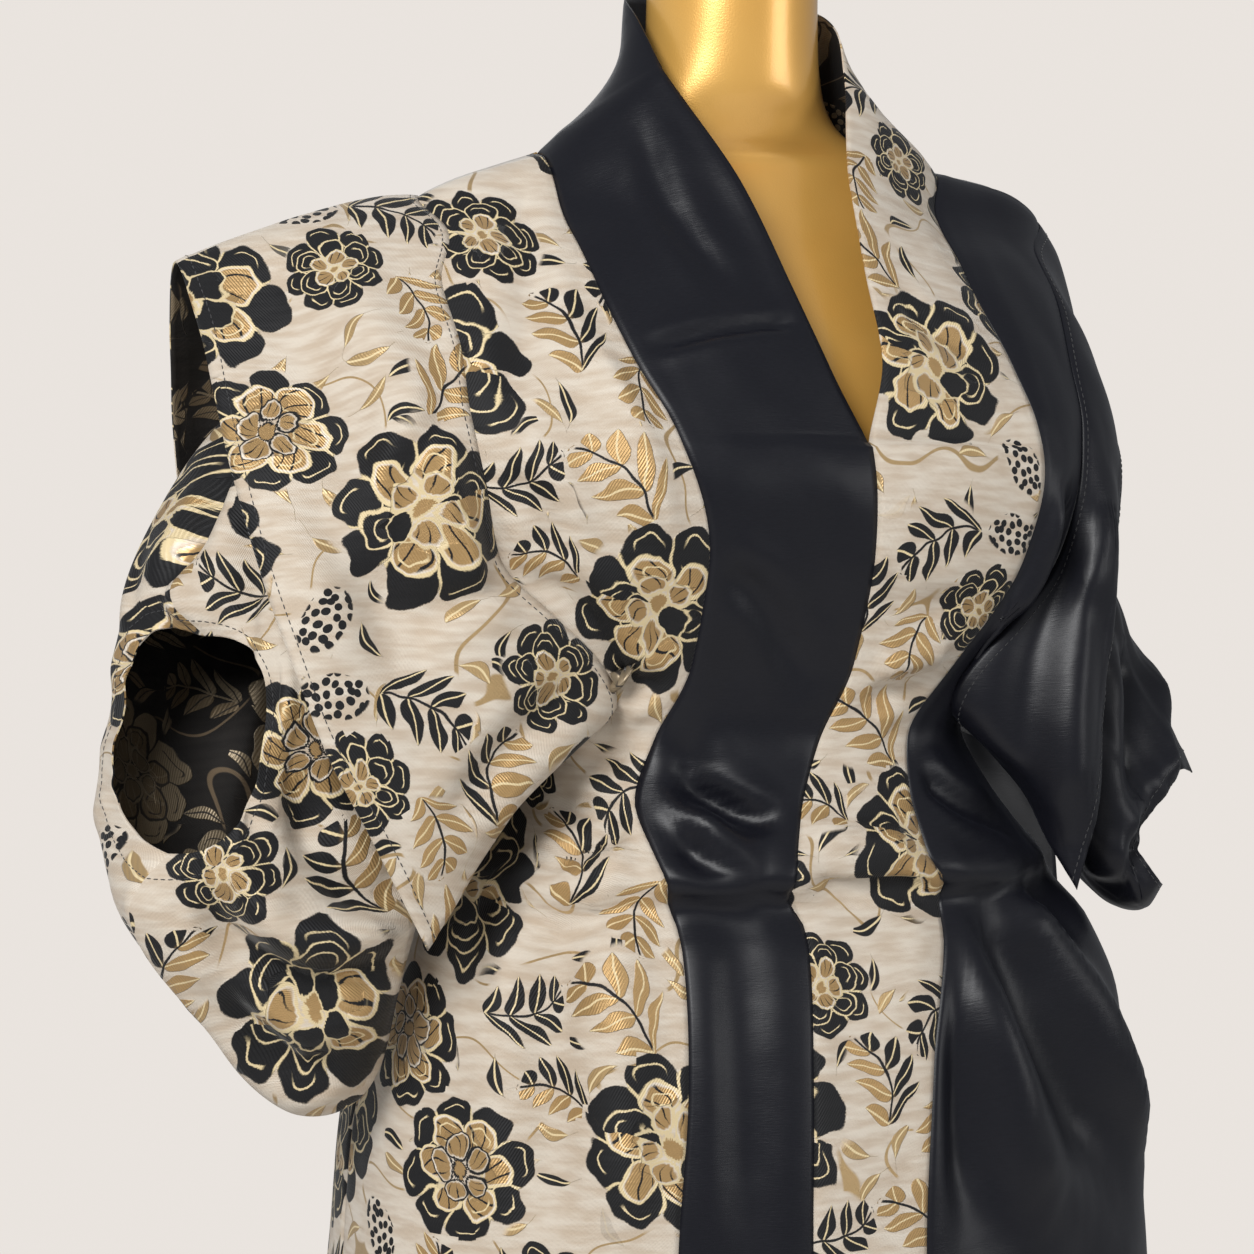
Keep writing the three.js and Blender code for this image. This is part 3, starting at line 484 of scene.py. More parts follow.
# columns: depth and size in millimetres of the uneven waves of each cloth, across and along it
WAVES = {"brocade": ((2.6, 75, 110), (1.1, 30, 38)), "satin": ((3.0, 60, 140), (1.1, 26, 44))}


def creased(node, grid, normals, cloth, seed):
    """The grid with its waves, creases, seam grooves and hem."""
    middle, radius, other_row, other_seed = 6, 5, 31, 7  # of the circles that a sleeve's waves follow
    seam_start, seam_end, groove_depth, groove_width = 1, 24, 1.1, 3.5
    hem_height, hem_beyond, hem_within = 0.8, 2.5, 1.5
    kind = node.split("_")[0]
    sizes = cloth_sizes(grid) * 10
    u, v = sizes[..., 0] - sizes[:, :1, 0], sizes[..., 1]
    edges = {"start": u, "end": u[:, -1:] - u, "low": v, "top": v[-1:] - v}
    offset = np.zeros(grid.shape[:2])
    turn = 2 * np.pi * np.arange(grid.shape[1]) / grid.shape[1]
    for k, (depth, wide, long) in enumerate(WAVES[cloth]):
        across = u / wide
        if kind == "sleeve":
            # a sleeve's waves are read round circles in the noise, so that they close
            across, other = middle + radius * np.cos(turn), middle + radius * np.sin(turn)
            offset += 0.5 * depth * soft_noise(other, v / long + other_row, seed + other_seed + k)
        offset += depth * soft_noise(across, v / long, seed + k)
    for depth, width, points in CREASES[node]:
        offset += crease_offset(grid, depth, width, np.array(points, dtype=float))
    for edge in SEWN[kind]:
        offset *= soft_step(edges[edge], seam_start, seam_end)
    for edge in SEWN[kind]:
        if edge != "top":
            offset -= groove_depth * np.exp(-((edges[edge] / groove_width) ** 2))
    edge, width = HEMS[kind]
    offset += hem_height * soft_step(edges[edge], width + hem_beyond, width - hem_within)
    return grid + normals * offset[..., None]


def shell(name, grid, normals, sides, face_material, reverse_material, shift, closed=False):
    """A closed thin shell through a grid, with its cloth sizes as UVs. Flowers are laid from shift on."""
    rows, columns = grid.shape[:2]
    layer = rows * columns
    half = CLOTH / 2
    vertices = np.stack([grid + normals * half, grid - normals * half]).reshape(-1, 3)
    spans = columns if closed else columns - 1
    r, c = np.meshgrid(np.arange(rows - 1), np.arange(spans), indexing="ij")
    r, c = r.ravel(), c.ravel()
    d = (c + 1) % columns
    corners = [(r, c), (r, d), (r + 1, d), (r + 1, c)]
    outer = np.stack([a * columns + b for a, b in corners], axis=-1)
    inner = outer[:, ::-1] + layer
    uv_corners = [(r, c), (r, c + 1), (r + 1, c + 1), (r + 1, c)]
    ahead, behind = (np.stack([sizes[a, b] for a, b in uv_corners], axis=1) for sizes in sides)
    outer_uv = np.where((c < columns // 2)[:, None, None], ahead, behind)
    inner_uv = outer_uv[:, ::-1]

    def rim(line):
        a, b = line[:-1], line[1:]
        return np.stack([a, b, b + layer, a + layer], axis=-1)

    index = np.arange(layer).reshape(rows, columns)
    ends = [index[0][::-1], index[-1]]
    if closed:
        ends = [np.append(line, line[0]) for line in ends]
    else:
        ends += [index[:, 0], index[:, -1][::-1]]
    rims = np.concatenate([rim(line) for line in ends])
    rim_uv = sides[0][:, :columns].reshape(-1, 2)[rims % layer]
    faces = np.concatenate([outer, inner, rims])
    uvs = np.concatenate([outer_uv, inner_uv, rim_uv])
    if signed_volume(vertices, faces) < 0:
        faces, uvs = faces[:, ::-1], uvs[:, ::-1]
    item = add_mesh(name, vertices * MM, faces.tolist())
    mesh = item.data
    mesh.uv_layers.new(name="cloth").data.foreach_set("uv", uvs.reshape(-1))
    if shift is not None:
        lay_motifs(mesh, uvs, np.array(shift, dtype=float))
    mesh.materials.append(face_material)
    mesh.materials.append(reverse_material)
    counts = [len(outer), len(inner), len(rims)]
    mesh.polygons.foreach_set("material_index", np.repeat([0, 1, 0], counts).astype(np.int32))
    mesh.polygons.foreach_set("use_smooth", np.repeat([True, True, False], counts))
    return item


def signed_volume(vertices, faces):
    a, b, c, d = (vertices[faces[:, k]] for k in range(4))
    return np.sum(a * np.cross(b, c)) + np.sum(a * np.cross(c, d))


# ---- Woven flowers ----
REPEAT = np.array([25.0, 31.0])  # width and height of the repeat, in centimetres
PEONY, ROSE, SMALL, SPRAY, BERRIES = range(5)
# columns: x and y of the middle, radius in centimetres, turn in degrees, kind
MOTIFS = np.array([
    (2.0, 14.0, 5.6, 20, PEONY), (14.3, 30.7, 5.4, 200, PEONY), (2.0, 29.0, 4.4, 75, ROSE),
    (6.1, 5.3, 4.2, 310, ROSE), (22.3, 21.9, 3.3, 130, SMALL), (10.4, 15.4, 3.1, 245, SMALL),
    (17.0, 7.6, 3.1, 40, SPRAY), (4.4, 22.1, 3.0, 115, SPRAY), (14.6, 19.6, 2.9, 330, SPRAY),
    (19.0, 16.3, 2.8, 70, SPRAY), (22.5, 7.3, 2.6, 160, SPRAY), (15.0, 12.6, 2.4, 285, SPRAY),
    (21.2, 2.8, 2.3, 15, SPRAY), (9.1, 20.4, 2.1, 0, BERRIES), (8.6, 24.7, 2.0, 60, BERRIES),
], dtype=float)


def lay_motifs(mesh, sizes, shift):
    """Gives each face the nearest motif: its own coordinates, its kind and a number of its own."""
    sizes = sizes + shift
    middle = sizes.mean(axis=1)
    gap = middle[:, None] - MOTIFS[None, :, :2]
    gap -= np.round(gap / REPEAT) * REPEAT
    nearest = np.argmin(np.linalg.norm(gap, axis=-1) / MOTIFS[:, 2], axis=1)
    centre = middle - np.take_along_axis(gap, nearest[:, None, None], axis=1)[:, 0]
    local = (sizes - centre[:, None]) / MOTIFS[nearest, 2][:, None, None]
    turn = np.radians(MOTIFS[nearest, 3])[:, None]
    x, y = local[..., 0], local[..., 1]
    turned = np.stack([x * np.cos(turn) + y * np.sin(turn), y * np.cos(turn) - x * np.sin(turn)], axis=-1)
    mesh.uv_layers.new(name="motif").data.foreach_set("uv", turned.reshape(-1))
    kind = mesh.attributes.new("motif_kind", "FLOAT", "FACE")
    kind.data.foreach_set("value", MOTIFS[nearest, 4].astype(np.float32))
    tone = mesh.attributes.new("motif_tone", "FLOAT", "FACE")
    tone.data.foreach_set("value", ((nearest * 0.37) % 1).astype(np.float32))


# ---- Node trees, written as formulas ----
class Value:
    """A number in a node tree."""

    def __init__(self, tree, socket):
        self.tree = tree
        self.socket = socket

    def math(self, operation, *others):
        node = self.tree.nodes.new("ShaderNodeMath")
        node.operation = operation
        for slot, item in zip(node.inputs, (self, *others)):
            plug(self.tree, slot, item)
        return Value(self.tree, node.outputs[0])

    def __add__(self, other):
        return self.math("ADD", other)

    def __sub__(self, other):
        return self.math("SUBTRACT", other)

    def __mul__(self, other):
        return self.math("MULTIPLY", other)

    def __truediv__(self, other):
        return self.math("DIVIDE", other)

    def __pow__(self, other):
        return self.math("POWER", other)

    def __abs__(self):
        return self.math("ABSOLUTE")

    def invert(self):
        return (self * -1) + 1

    def ramp(self, low, high):
        """0 before low and 1 after high, with a soft step between."""
        node = self.tree.nodes.new("ShaderNodeMapRange")
        node.interpolation_type = "SMOOTHSTEP"
        plug(self.tree, node.inputs[0], self)
        plug(self.tree, node.inputs[1], low)
        plug(self.tree, node.inputs[2], high)
        return Value(self.tree, node.outputs[0])

    def near(self, number, reach):
        """1 where the value is within reach of a number."""
        return abs(self - number).ramp(reach, reach * 0.8)


def plug(tree, slot, item):
    if isinstance(item, Value):
        tree.links.new(item.socket, slot)
    elif isinstance(item, bpy.types.NodeSocket):
        tree.links.new(item, slot)
    elif isinstance(item, tuple):
        slot.default_value = (*item, 1)[:len(slot.default_value)]
    else:
        slot.default_value = item


def cloth_uv(tree, layer):
    node = tree.nodes.new("ShaderNodeUVMap")
    node.uv_map = layer
    split = tree.nodes.new("ShaderNodeSeparateXYZ")
    tree.links.new(node.outputs[0], split.inputs[0])
    return Value(tree, split.outputs[0]), Value(tree, split.outputs[1])


def face_number(tree, name):
    node = tree.nodes.new("ShaderNodeAttribute")
    node.attribute_name = name
    return Value(tree, node.outputs["Fac"])


def vector(tree, x, y):
    node = tree.nodes.new("ShaderNodeCombineXYZ")
    plug(tree, node.inputs[0], x)
    plug(tree, node.inputs[1], y)
    return node.outputs[0]


def object_place(tree):
    return tree.nodes.new("ShaderNodeTexCoord").outputs["Object"]


def noise(tree, place, scale, detail):
    """A noise's value, and its first two colour channels as numbers about zero."""
    node = tree.nodes.new("ShaderNodeTexNoise")
    plug(tree, node.inputs["Vector"], place)
    node.inputs["Scale"].default_value = scale
    node.inputs["Detail"].default_value = detail
    split = tree.nodes.new("ShaderNodeSeparateColor")
    tree.links.new(node.outputs["Color"], split.inputs[0])
    sides = [Value(tree, split.outputs[k]) - 0.5 for k in range(2)]
    return Value(tree, node.outputs["Fac"]), *sides


def blend_color(tree, factor, a, b):
    node = tree.nodes.new("ShaderNodeMix")
    node.data_type = "RGBA"
    plug(tree, node.inputs[0], factor)
    plug(tree, node.inputs[6], a)
    plug(tree, node.inputs[7], b)
    return node.outputs[2]


def new_material(name, **settings):
    material = bpy.data.materials.new(name)
    material.use_nodes = True
    tree = material.node_tree
    shader = tree.nodes["Principled BSDF"]
    for key, value in settings.items():
        plug(tree, shader.inputs[key.replace("_", " ")], value)
    return material, tree, shader


def bump(tree, shader, height, distance):
    node = tree.nodes.new("ShaderNodeBump")
    node.inputs["Distance"].default_value = distance
    plug(tree, node.inputs["Height"], height)
    tree.links.new(node.outputs[0], shader.inputs["Normal"])


# ---- Brocade ----
# columns: where a ring's petals have their middles, how big they are, how many, and their turn
PETAL_RINGS = ((0.68, 0.315, 8, 0.1), (0.47, 0.27, 6, 0.45), (0.27, 0.20, 5, 0.2), (0.0, 0.13, 3, 0.0))


def petal_ring(reach, angle, tone, ring):
    """How far a place is beyond a ring of round petals, its share from its petal's middle, and the
    petal's own random number."""
    middle, size, count, turn = ring
    place = angle * (count / (2 * math.pi)) + (tone * 3 + turn)
    share = place.math("FRACT") - 0.5
    own = ((place.math("FLOOR") * 12.9 + tone * 71 + count).math("SINE") * 43.7).math("FRACT")
    ahead = (share * (2 * math.pi / count)).math("COSINE")
    gap = (reach * reach - reach * ahead * (2 * middle) + middle * middle).math("MAXIMUM", 0.0) ** 0.5
    return gap - size + own * 0.05, abs(share), own


def flower(tree, x, y, tone, kind, palette, ground):
    """The colour of a flower of rings of round petals, and how much of the place it covers."""
    reach = (x * x + y * y) ** 0.5
    angle = y.math("ARCTAN2", x)
    rose, small = kind.near(ROSE, 0.4), kind.near(SMALL, 0.4)
    ragged = (angle * 23).math("SINE") * 0.006
    streaks = abs((angle * 8.5 + reach * 9).math("SINE")).ramp(0.30, 0.16) * reach.ramp(0.12, 0.3)
    color, outer = ground, None
    for place, ring in enumerate(PETAL_RINGS):
        beyond, share, own = petal_ring(reach, angle, tone, ring)
        beyond = beyond + ragged
        inside = beyond.ramp(0.008, -0.008)
        outer = inside if outer is None else outer
        some = (own.ramp(0.55, 0.6) * small.invert()).math("MAXIMUM", rose)
        golden = (0.0, some, (some + small).math("MINIMUM", 1.0), 1.0)[place]
        line = blend_color(tree, rose if place > 1 else 0.0, palette["line"], palette["black"])
        petal = blend_color(tree, golden, palette["black"], palette["gold"])
        if place in (1, 2):
            petal = blend_color(tree, streaks * golden, petal, palette["black"])
            petal = blend_color(tree, beyond.ramp(-0.06, -0.03) * golden, petal, palette["bright"])
        # pale gaps between the petals, a pale scallop within some of them, and a pale line round each
        # inner ring, thin and thick by turns
        if place < 3:
            cleft = (share * -1 + 0.5).ramp(0.045, 0.015) * beyond.ramp(-0.24, -0.08)
            petal = blend_color(tree, cleft, petal, line)
        if place < 2:
            scallop = abs(beyond + 0.125 - share * 0.08).ramp(0.014, 0.005) * share.ramp(0.30, 0.22)
            petal = blend_color(tree, scallop * own.ramp(0.75, 0.8).invert(), petal, line)
        if place > 0:
            thick = own * 0.018 + share * 0.024
            petal = blend_color(tree, (beyond + thick).ramp(-0.018, -0.006), petal, line)
        color = blend_color(tree, inside, color, petal)
    return color, outer


def spray(tree, x, y, tone, palette, ground):
    """Leaves in pairs along a curved stem."""
    y = y + x * x * 0.35 - 0.12
    away = abs(y)
    place = x - away * 0.75
    cell = abs((place * 1.9 + 0.35).math("FRACT") - 0.5)
    length = (abs(x) ** 2).invert().math("MAXIMUM", 0.0) ** 0.5 * 0.78
    share = (away / (length + 0.001)).math("MINIMUM", 1.0)
    width = (share**0.8 * math.pi).math("SINE") * 0.40
    leaf = (cell - width).ramp(0.02, -0.02) * share.ramp(1.0, 0.97)
    stem = away.ramp(0.035, 0.02) * abs(x).ramp(0.95, 0.9)
    dark = ((y * 9).ramp(-1, 1) * tone.ramp(0.25, 0.3) + tone.ramp(0.62, 0.66)).math("MINIMUM", 1.0)
    shade = blend_color(tree, dark, palette["gold"], palette["black"])
    shade = blend_color(tree, cell.ramp(0.05, 0.02), shade, palette["line"])
    color = blend_color(tree, leaf, ground, shade)
    return blend_color(tree, stem, color, palette["black"]), leaf.math("MAXIMUM", stem)


def berries(tree, x, y, palette, ground):
    node = tree.nodes.new("ShaderNodeTexVoronoi")
    node.voronoi_dimensions = "2D"
    node.inputs["Scale"].default_value = 3.4
    node.inputs["Randomness"].default_value = 0.55
    plug(tree, node.inputs["Vector"], vector(tree, x, y))
    gap = Value(tree, node.outputs["Distance"])
    cluster = (x * x * 0.8 + y * y * 1.9).ramp(0.8, 0.7)
    dots = gap.ramp(0.40, 0.37) * cluster
    return blend_color(tree, dots, ground, palette["black"]), dots


def small_leaves(tree, u, v, palette, ground, clear):
    """Single small leaves and curls between the large motifs."""
    node = tree.nodes.new("ShaderNodeTexVoronoi")
    node.voronoi_dimensions = "2D"
    node.inputs["Scale"].default_value = 1 / 2.7
    node.inputs["Randomness"].default_value = 0.8
    plug(tree, node.inputs["Vector"], vector(tree, u, v))
    split = tree.nodes.new("ShaderNodeSeparateXYZ")
    tree.links.new(node.outputs["Position"], split.inputs[0])
    x = u - Value(tree, split.outputs[0])
    y = v - Value(tree, split.outputs[1])
    chance = tree.nodes.new("ShaderNodeSeparateColor")
    tree.links.new(node.outputs["Color"], chance.inputs[0])
    pick, way, dark = (Value(tree, chance.outputs[k]) for k in range(3))
    turn = way * (2 * math.pi)
    along = x * turn.math("COSINE") + y * turn.math("SINE")
    across = y * turn.math("COSINE") - x * turn.math("SINE") + along * along * 0.22
    half = (along * along * -0.72 + 1).math("MAXIMUM", 0.0) * 0.36
    leaf = (abs(across) - half).ramp(0.03, -0.03) * pick.ramp(0.30, 0.34) * clear
    rib = abs(across).ramp(0.07, 0.03) * leaf
    tint = blend_color(tree, dark.ramp(0.45, 0.5), palette["tan"], palette["black"])
    color = blend_color(tree, leaf, ground, tint)
    return blend_color(tree, rib, color, palette["line"]), leaf


def brocade_material(name, palette, sheen):
    material, tree, shader = new_material(name, Sheen_Weight=sheen, Sheen_Roughness=0.35,
                                          Specular_IOR_Level=0.32)
    u, v = cloth_uv(tree, "cloth")
    x, y = cloth_uv(tree, "motif")
    kind, tone = face_number(tree, "motif_kind"), face_number(tree, "motif_tone")
    place = vector(tree, u, v)
    _, bend_x, bend_y = noise(tree, place, 0.42, 1.0)
    _, thread_x, thread_y = noise(tree, place, 11.0, 0.0)
    x = x + bend_x * 0.36 + thread_x * 0.012
    y = y + bend_y * 0.36 + thread_y * 0.012

    # ground: painted sheen, as patches of the bright colour, and stems that wander between the motifs
    sheen_and_bump_patches, _, _ = noise(tree, vector(tree, u * 0.35, v * 1.6), 1.0, 3.0)
    ground = blend_color(tree, sheen_and_bump_patches.ramp(0.3, 0.7), palette["ground"], palette["bright"])
    wander, _, _ = noise(tree, place, 0.11, 1.0)
    stems = abs(wander - 0.5).ramp(0.006, 0.003)
    reach = (x * x + y * y) ** 0.5
    open_ground = reach.ramp(0.92, 1.02)
    ground = blend_color(tree, stems * open_ground, ground, palette["tan"])
    ground, leaf_cover = small_leaves(tree, u + bend_x, v + bend_y, palette, ground, open_ground)

    petals, petal_cover = flower(tree, x, y, tone, kind, palette, ground)
    leaves, spray_cover = spray(tree, x, y, tone, palette, ground)
    dots, dot_cover = berries(tree, x, y, palette, ground)
    is_spray, is_berries = kind.near(SPRAY, 0.4), kind.near(BERRIES, 0.4)
    color = blend_color(tree, is_spray, petals, leaves)
    color = blend_color(tree, is_berries, color, dots)
    cover = petal_cover * kind.ramp(2.6, 2.4) + spray_cover * is_spray + dot_cover * is_berries
    cover = (cover + leaf_cover).math("MINIMUM", 1.0)

    # woven threads: a fine twill in the ground and slanted fill threads in the motifs
    twill = (u * 52 + v * 30).math("SINE") * (u * 30 - v * 60).math("SINE")
    fill = (u * 36 + v * 24 + bend_x * 14).math("SINE")
    weave = twill * cover.invert() * 0.5 + fill * cover * 0.3
    lightness = tree.nodes.new("ShaderNodeRGBToBW")
    tree.links.new(color, lightness.inputs[0])
    light = Value(tree, lightness.outputs[0])
    # painted shade of the threads: the weave darkens the light colours towards the shade colour
    color = blend_color(tree, (weave * 0.30 + 0.10) * light.ramp(0.0, 0.5), color, palette["shade"])
    tree.links.new(color, shader.inputs["Base Color"])
    plug(tree, shader.inputs["Roughness"], light.ramp(0.0, 0.5) * -0.30 + 0.62)
    gold = light.ramp(0.12, 0.2) * light.ramp(0.5, 0.4)
    plug(tree, shader.inputs["Metallic"], gold * 0.45)
    bump(tree, shader, cover * 0.75 + weave * 0.34 + sheen_and_bump_patches * 0.9, 0.0010)
    return material


# ---- Other materials ----
def satin_material():
    material, tree, shader = new_material(
        "satin_weave", Sheen_Weight=0.015, Sheen_Roughness=0.4,
        Sheen_Tint=(0.45, 0.5, 0.75), Specular_IOR_Level=0.28, Anisotropic=0.5,
    )
    u, v = cloth_uv(tree, "cloth")
    cloudy, _, _ = noise(tree, vector(tree, u, v), 0.22, 2.0)
    threads, _, _ = noise(tree, vector(tree, u * 2.5, v * 22), 1.0, 3.0)
    slubs, _, _ = noise(tree, vector(tree, u * 1.2, v * 9), 1.0, 2.0)
    dark, light = (0.0035, 0.0036, 0.0060), (0.0095, 0.0100, 0.0150)
    color = blend_color(tree, threads * 0.6 + slubs * 0.4, dark, light)
    tree.links.new(color, shader.inputs["Base Color"])
    plug(tree, shader.inputs["Roughness"], cloudy * 0.10 + threads * 0.10 + 0.28)
    bump(tree, shader, cloudy + threads * 0.05 + slubs * 0.06, 0.0010)
    tangent = tree.nodes.new("ShaderNodeTangent")
    tangent.direction_type = "UV_MAP"
    tangent.uv_map = "cloth"
    tree.links.new(tangent.outputs[0], shader.inputs["Tangent"])
    return material


def gold_material():
    material, tree, shader = new_material(
        "gold_lacquer", Metallic=0.35, Coat_Weight=0.6, Coat_Roughness=0.16, Specular_IOR_Level=0.6,
    )
    cloudy, _, _ = noise(tree, object_place(tree), 7.0, 3.0)
    grain, _, _ = noise(tree, object_place(tree), 900.0, 1.0)
    color = blend_color(tree, cloudy.ramp(0.35, 0.65), (0.82, 0.44, 0.095), (0.86, 0.49, 0.12))
    tree.links.new(color, shader.inputs["Base Color"])
    plug(tree, shader.inputs["Roughness"], cloudy * 0.08 + 0.28)
    bump(tree, shader, grain * 0.4 + cloudy, 0.0002)
    return material


def metal_material():
    material, tree, shader = new_material("brushed_metal", Metallic=1.0, Anisotropic=0.5)
    split = tree.nodes.new("ShaderNodeSeparateXYZ")
    tree.links.new(object_place(tree), split.inputs[0])
    x, y, z = (Value(tree, split.outputs[k]) for k in range(3))
    radius = (x * x + y * y) ** 0.5
    lines, _, _ = noise(tree, vector(tree, radius * 900, z * 900), 1.0, 2.0)
    worn, _, _ = noise(tree, object_place(tree), 14.0, 4.0)
    color = blend_color(tree, lines * 0.5 + worn * 0.3, (0.50, 0.50, 0.50), (0.72, 0.71, 0.70))
    tree.links.new(color, shader.inputs["Base Color"])
    plug(tree, shader.inputs["Roughness"], worn * 0.2 + lines * 0.12 + 0.16)
    bump(tree, shader, lines, 0.00008)
    return material


def thread_material():
    material, tree, shader = new_material("black_thread", Roughness=0.6, Sheen_Weight=0.3)
    ply, _, _ = noise(tree, object_place(tree), 2500.0, 1.0)
    color = blend_color(tree, ply, (0.008, 0.008, 0.010), (0.035, 0.034, 0.036))
    tree.links.new(color, shader.inputs["Base Color"])
    bump(tree, shader, ply, 0.0001)
    return material


def floor_material():
    material, tree, shader = new_material("studio_floor")
    cloudy, _, _ = noise(tree, object_place(tree), 2.0, 4.0)
    color = blend_color(tree, cloudy, (0.76, 0.74, 0.71), (0.82, 0.80, 0.78))
    tree.links.new(color, shader.inputs["Base Color"])
    plug(tree, shader.inputs["Roughness"], cloudy * 0.2 + 0.55)
    return material


FACE_COLORS = {
    "ground": (0.66, 0.54, 0.415), "bright": (0.83, 0.745, 0.63), "shade": (0.44, 0.33, 0.21),
    "black": (0.007, 0.007, 0.008), "gold": (0.46, 0.29, 0.12), "tan": (0.50, 0.34, 0.16),
    "line": (0.80, 0.65, 0.38),
}
REVERSE_COLORS = {
    "ground": (0.016, 0.014, 0.013), "bright": (0.024, 0.021, 0.019), "shade": (0.010, 0.009, 0.008),
    "black": (0.34, 0.27, 0.18), "gold": (0.24, 0.18, 0.11), "tan": (0.22, 0.16, 0.10),
    "line": (0.04, 0.033, 0.027),
}
brocade = brocade_material("brocade_face", FACE_COLORS, 0.15)
brocade_reverse = brocade_material("brocade_reverse", REVERSE_COLORS, 0.05)
satin = satin_material()
gold_lacquer = gold_material()
brushed_metal = metal_material()
black_thread = thread_material()

# ---- The cloth pieces ----
# where each brocade piece is cut from the repeat, in centimetres
REPEAT_SHIFT = {
    "front_right": (4, 3), "back_right": (9, 20), "band_left": (17, 8), "sleeve_right": (2, 11),
    "cape_right": (12, 5),
}


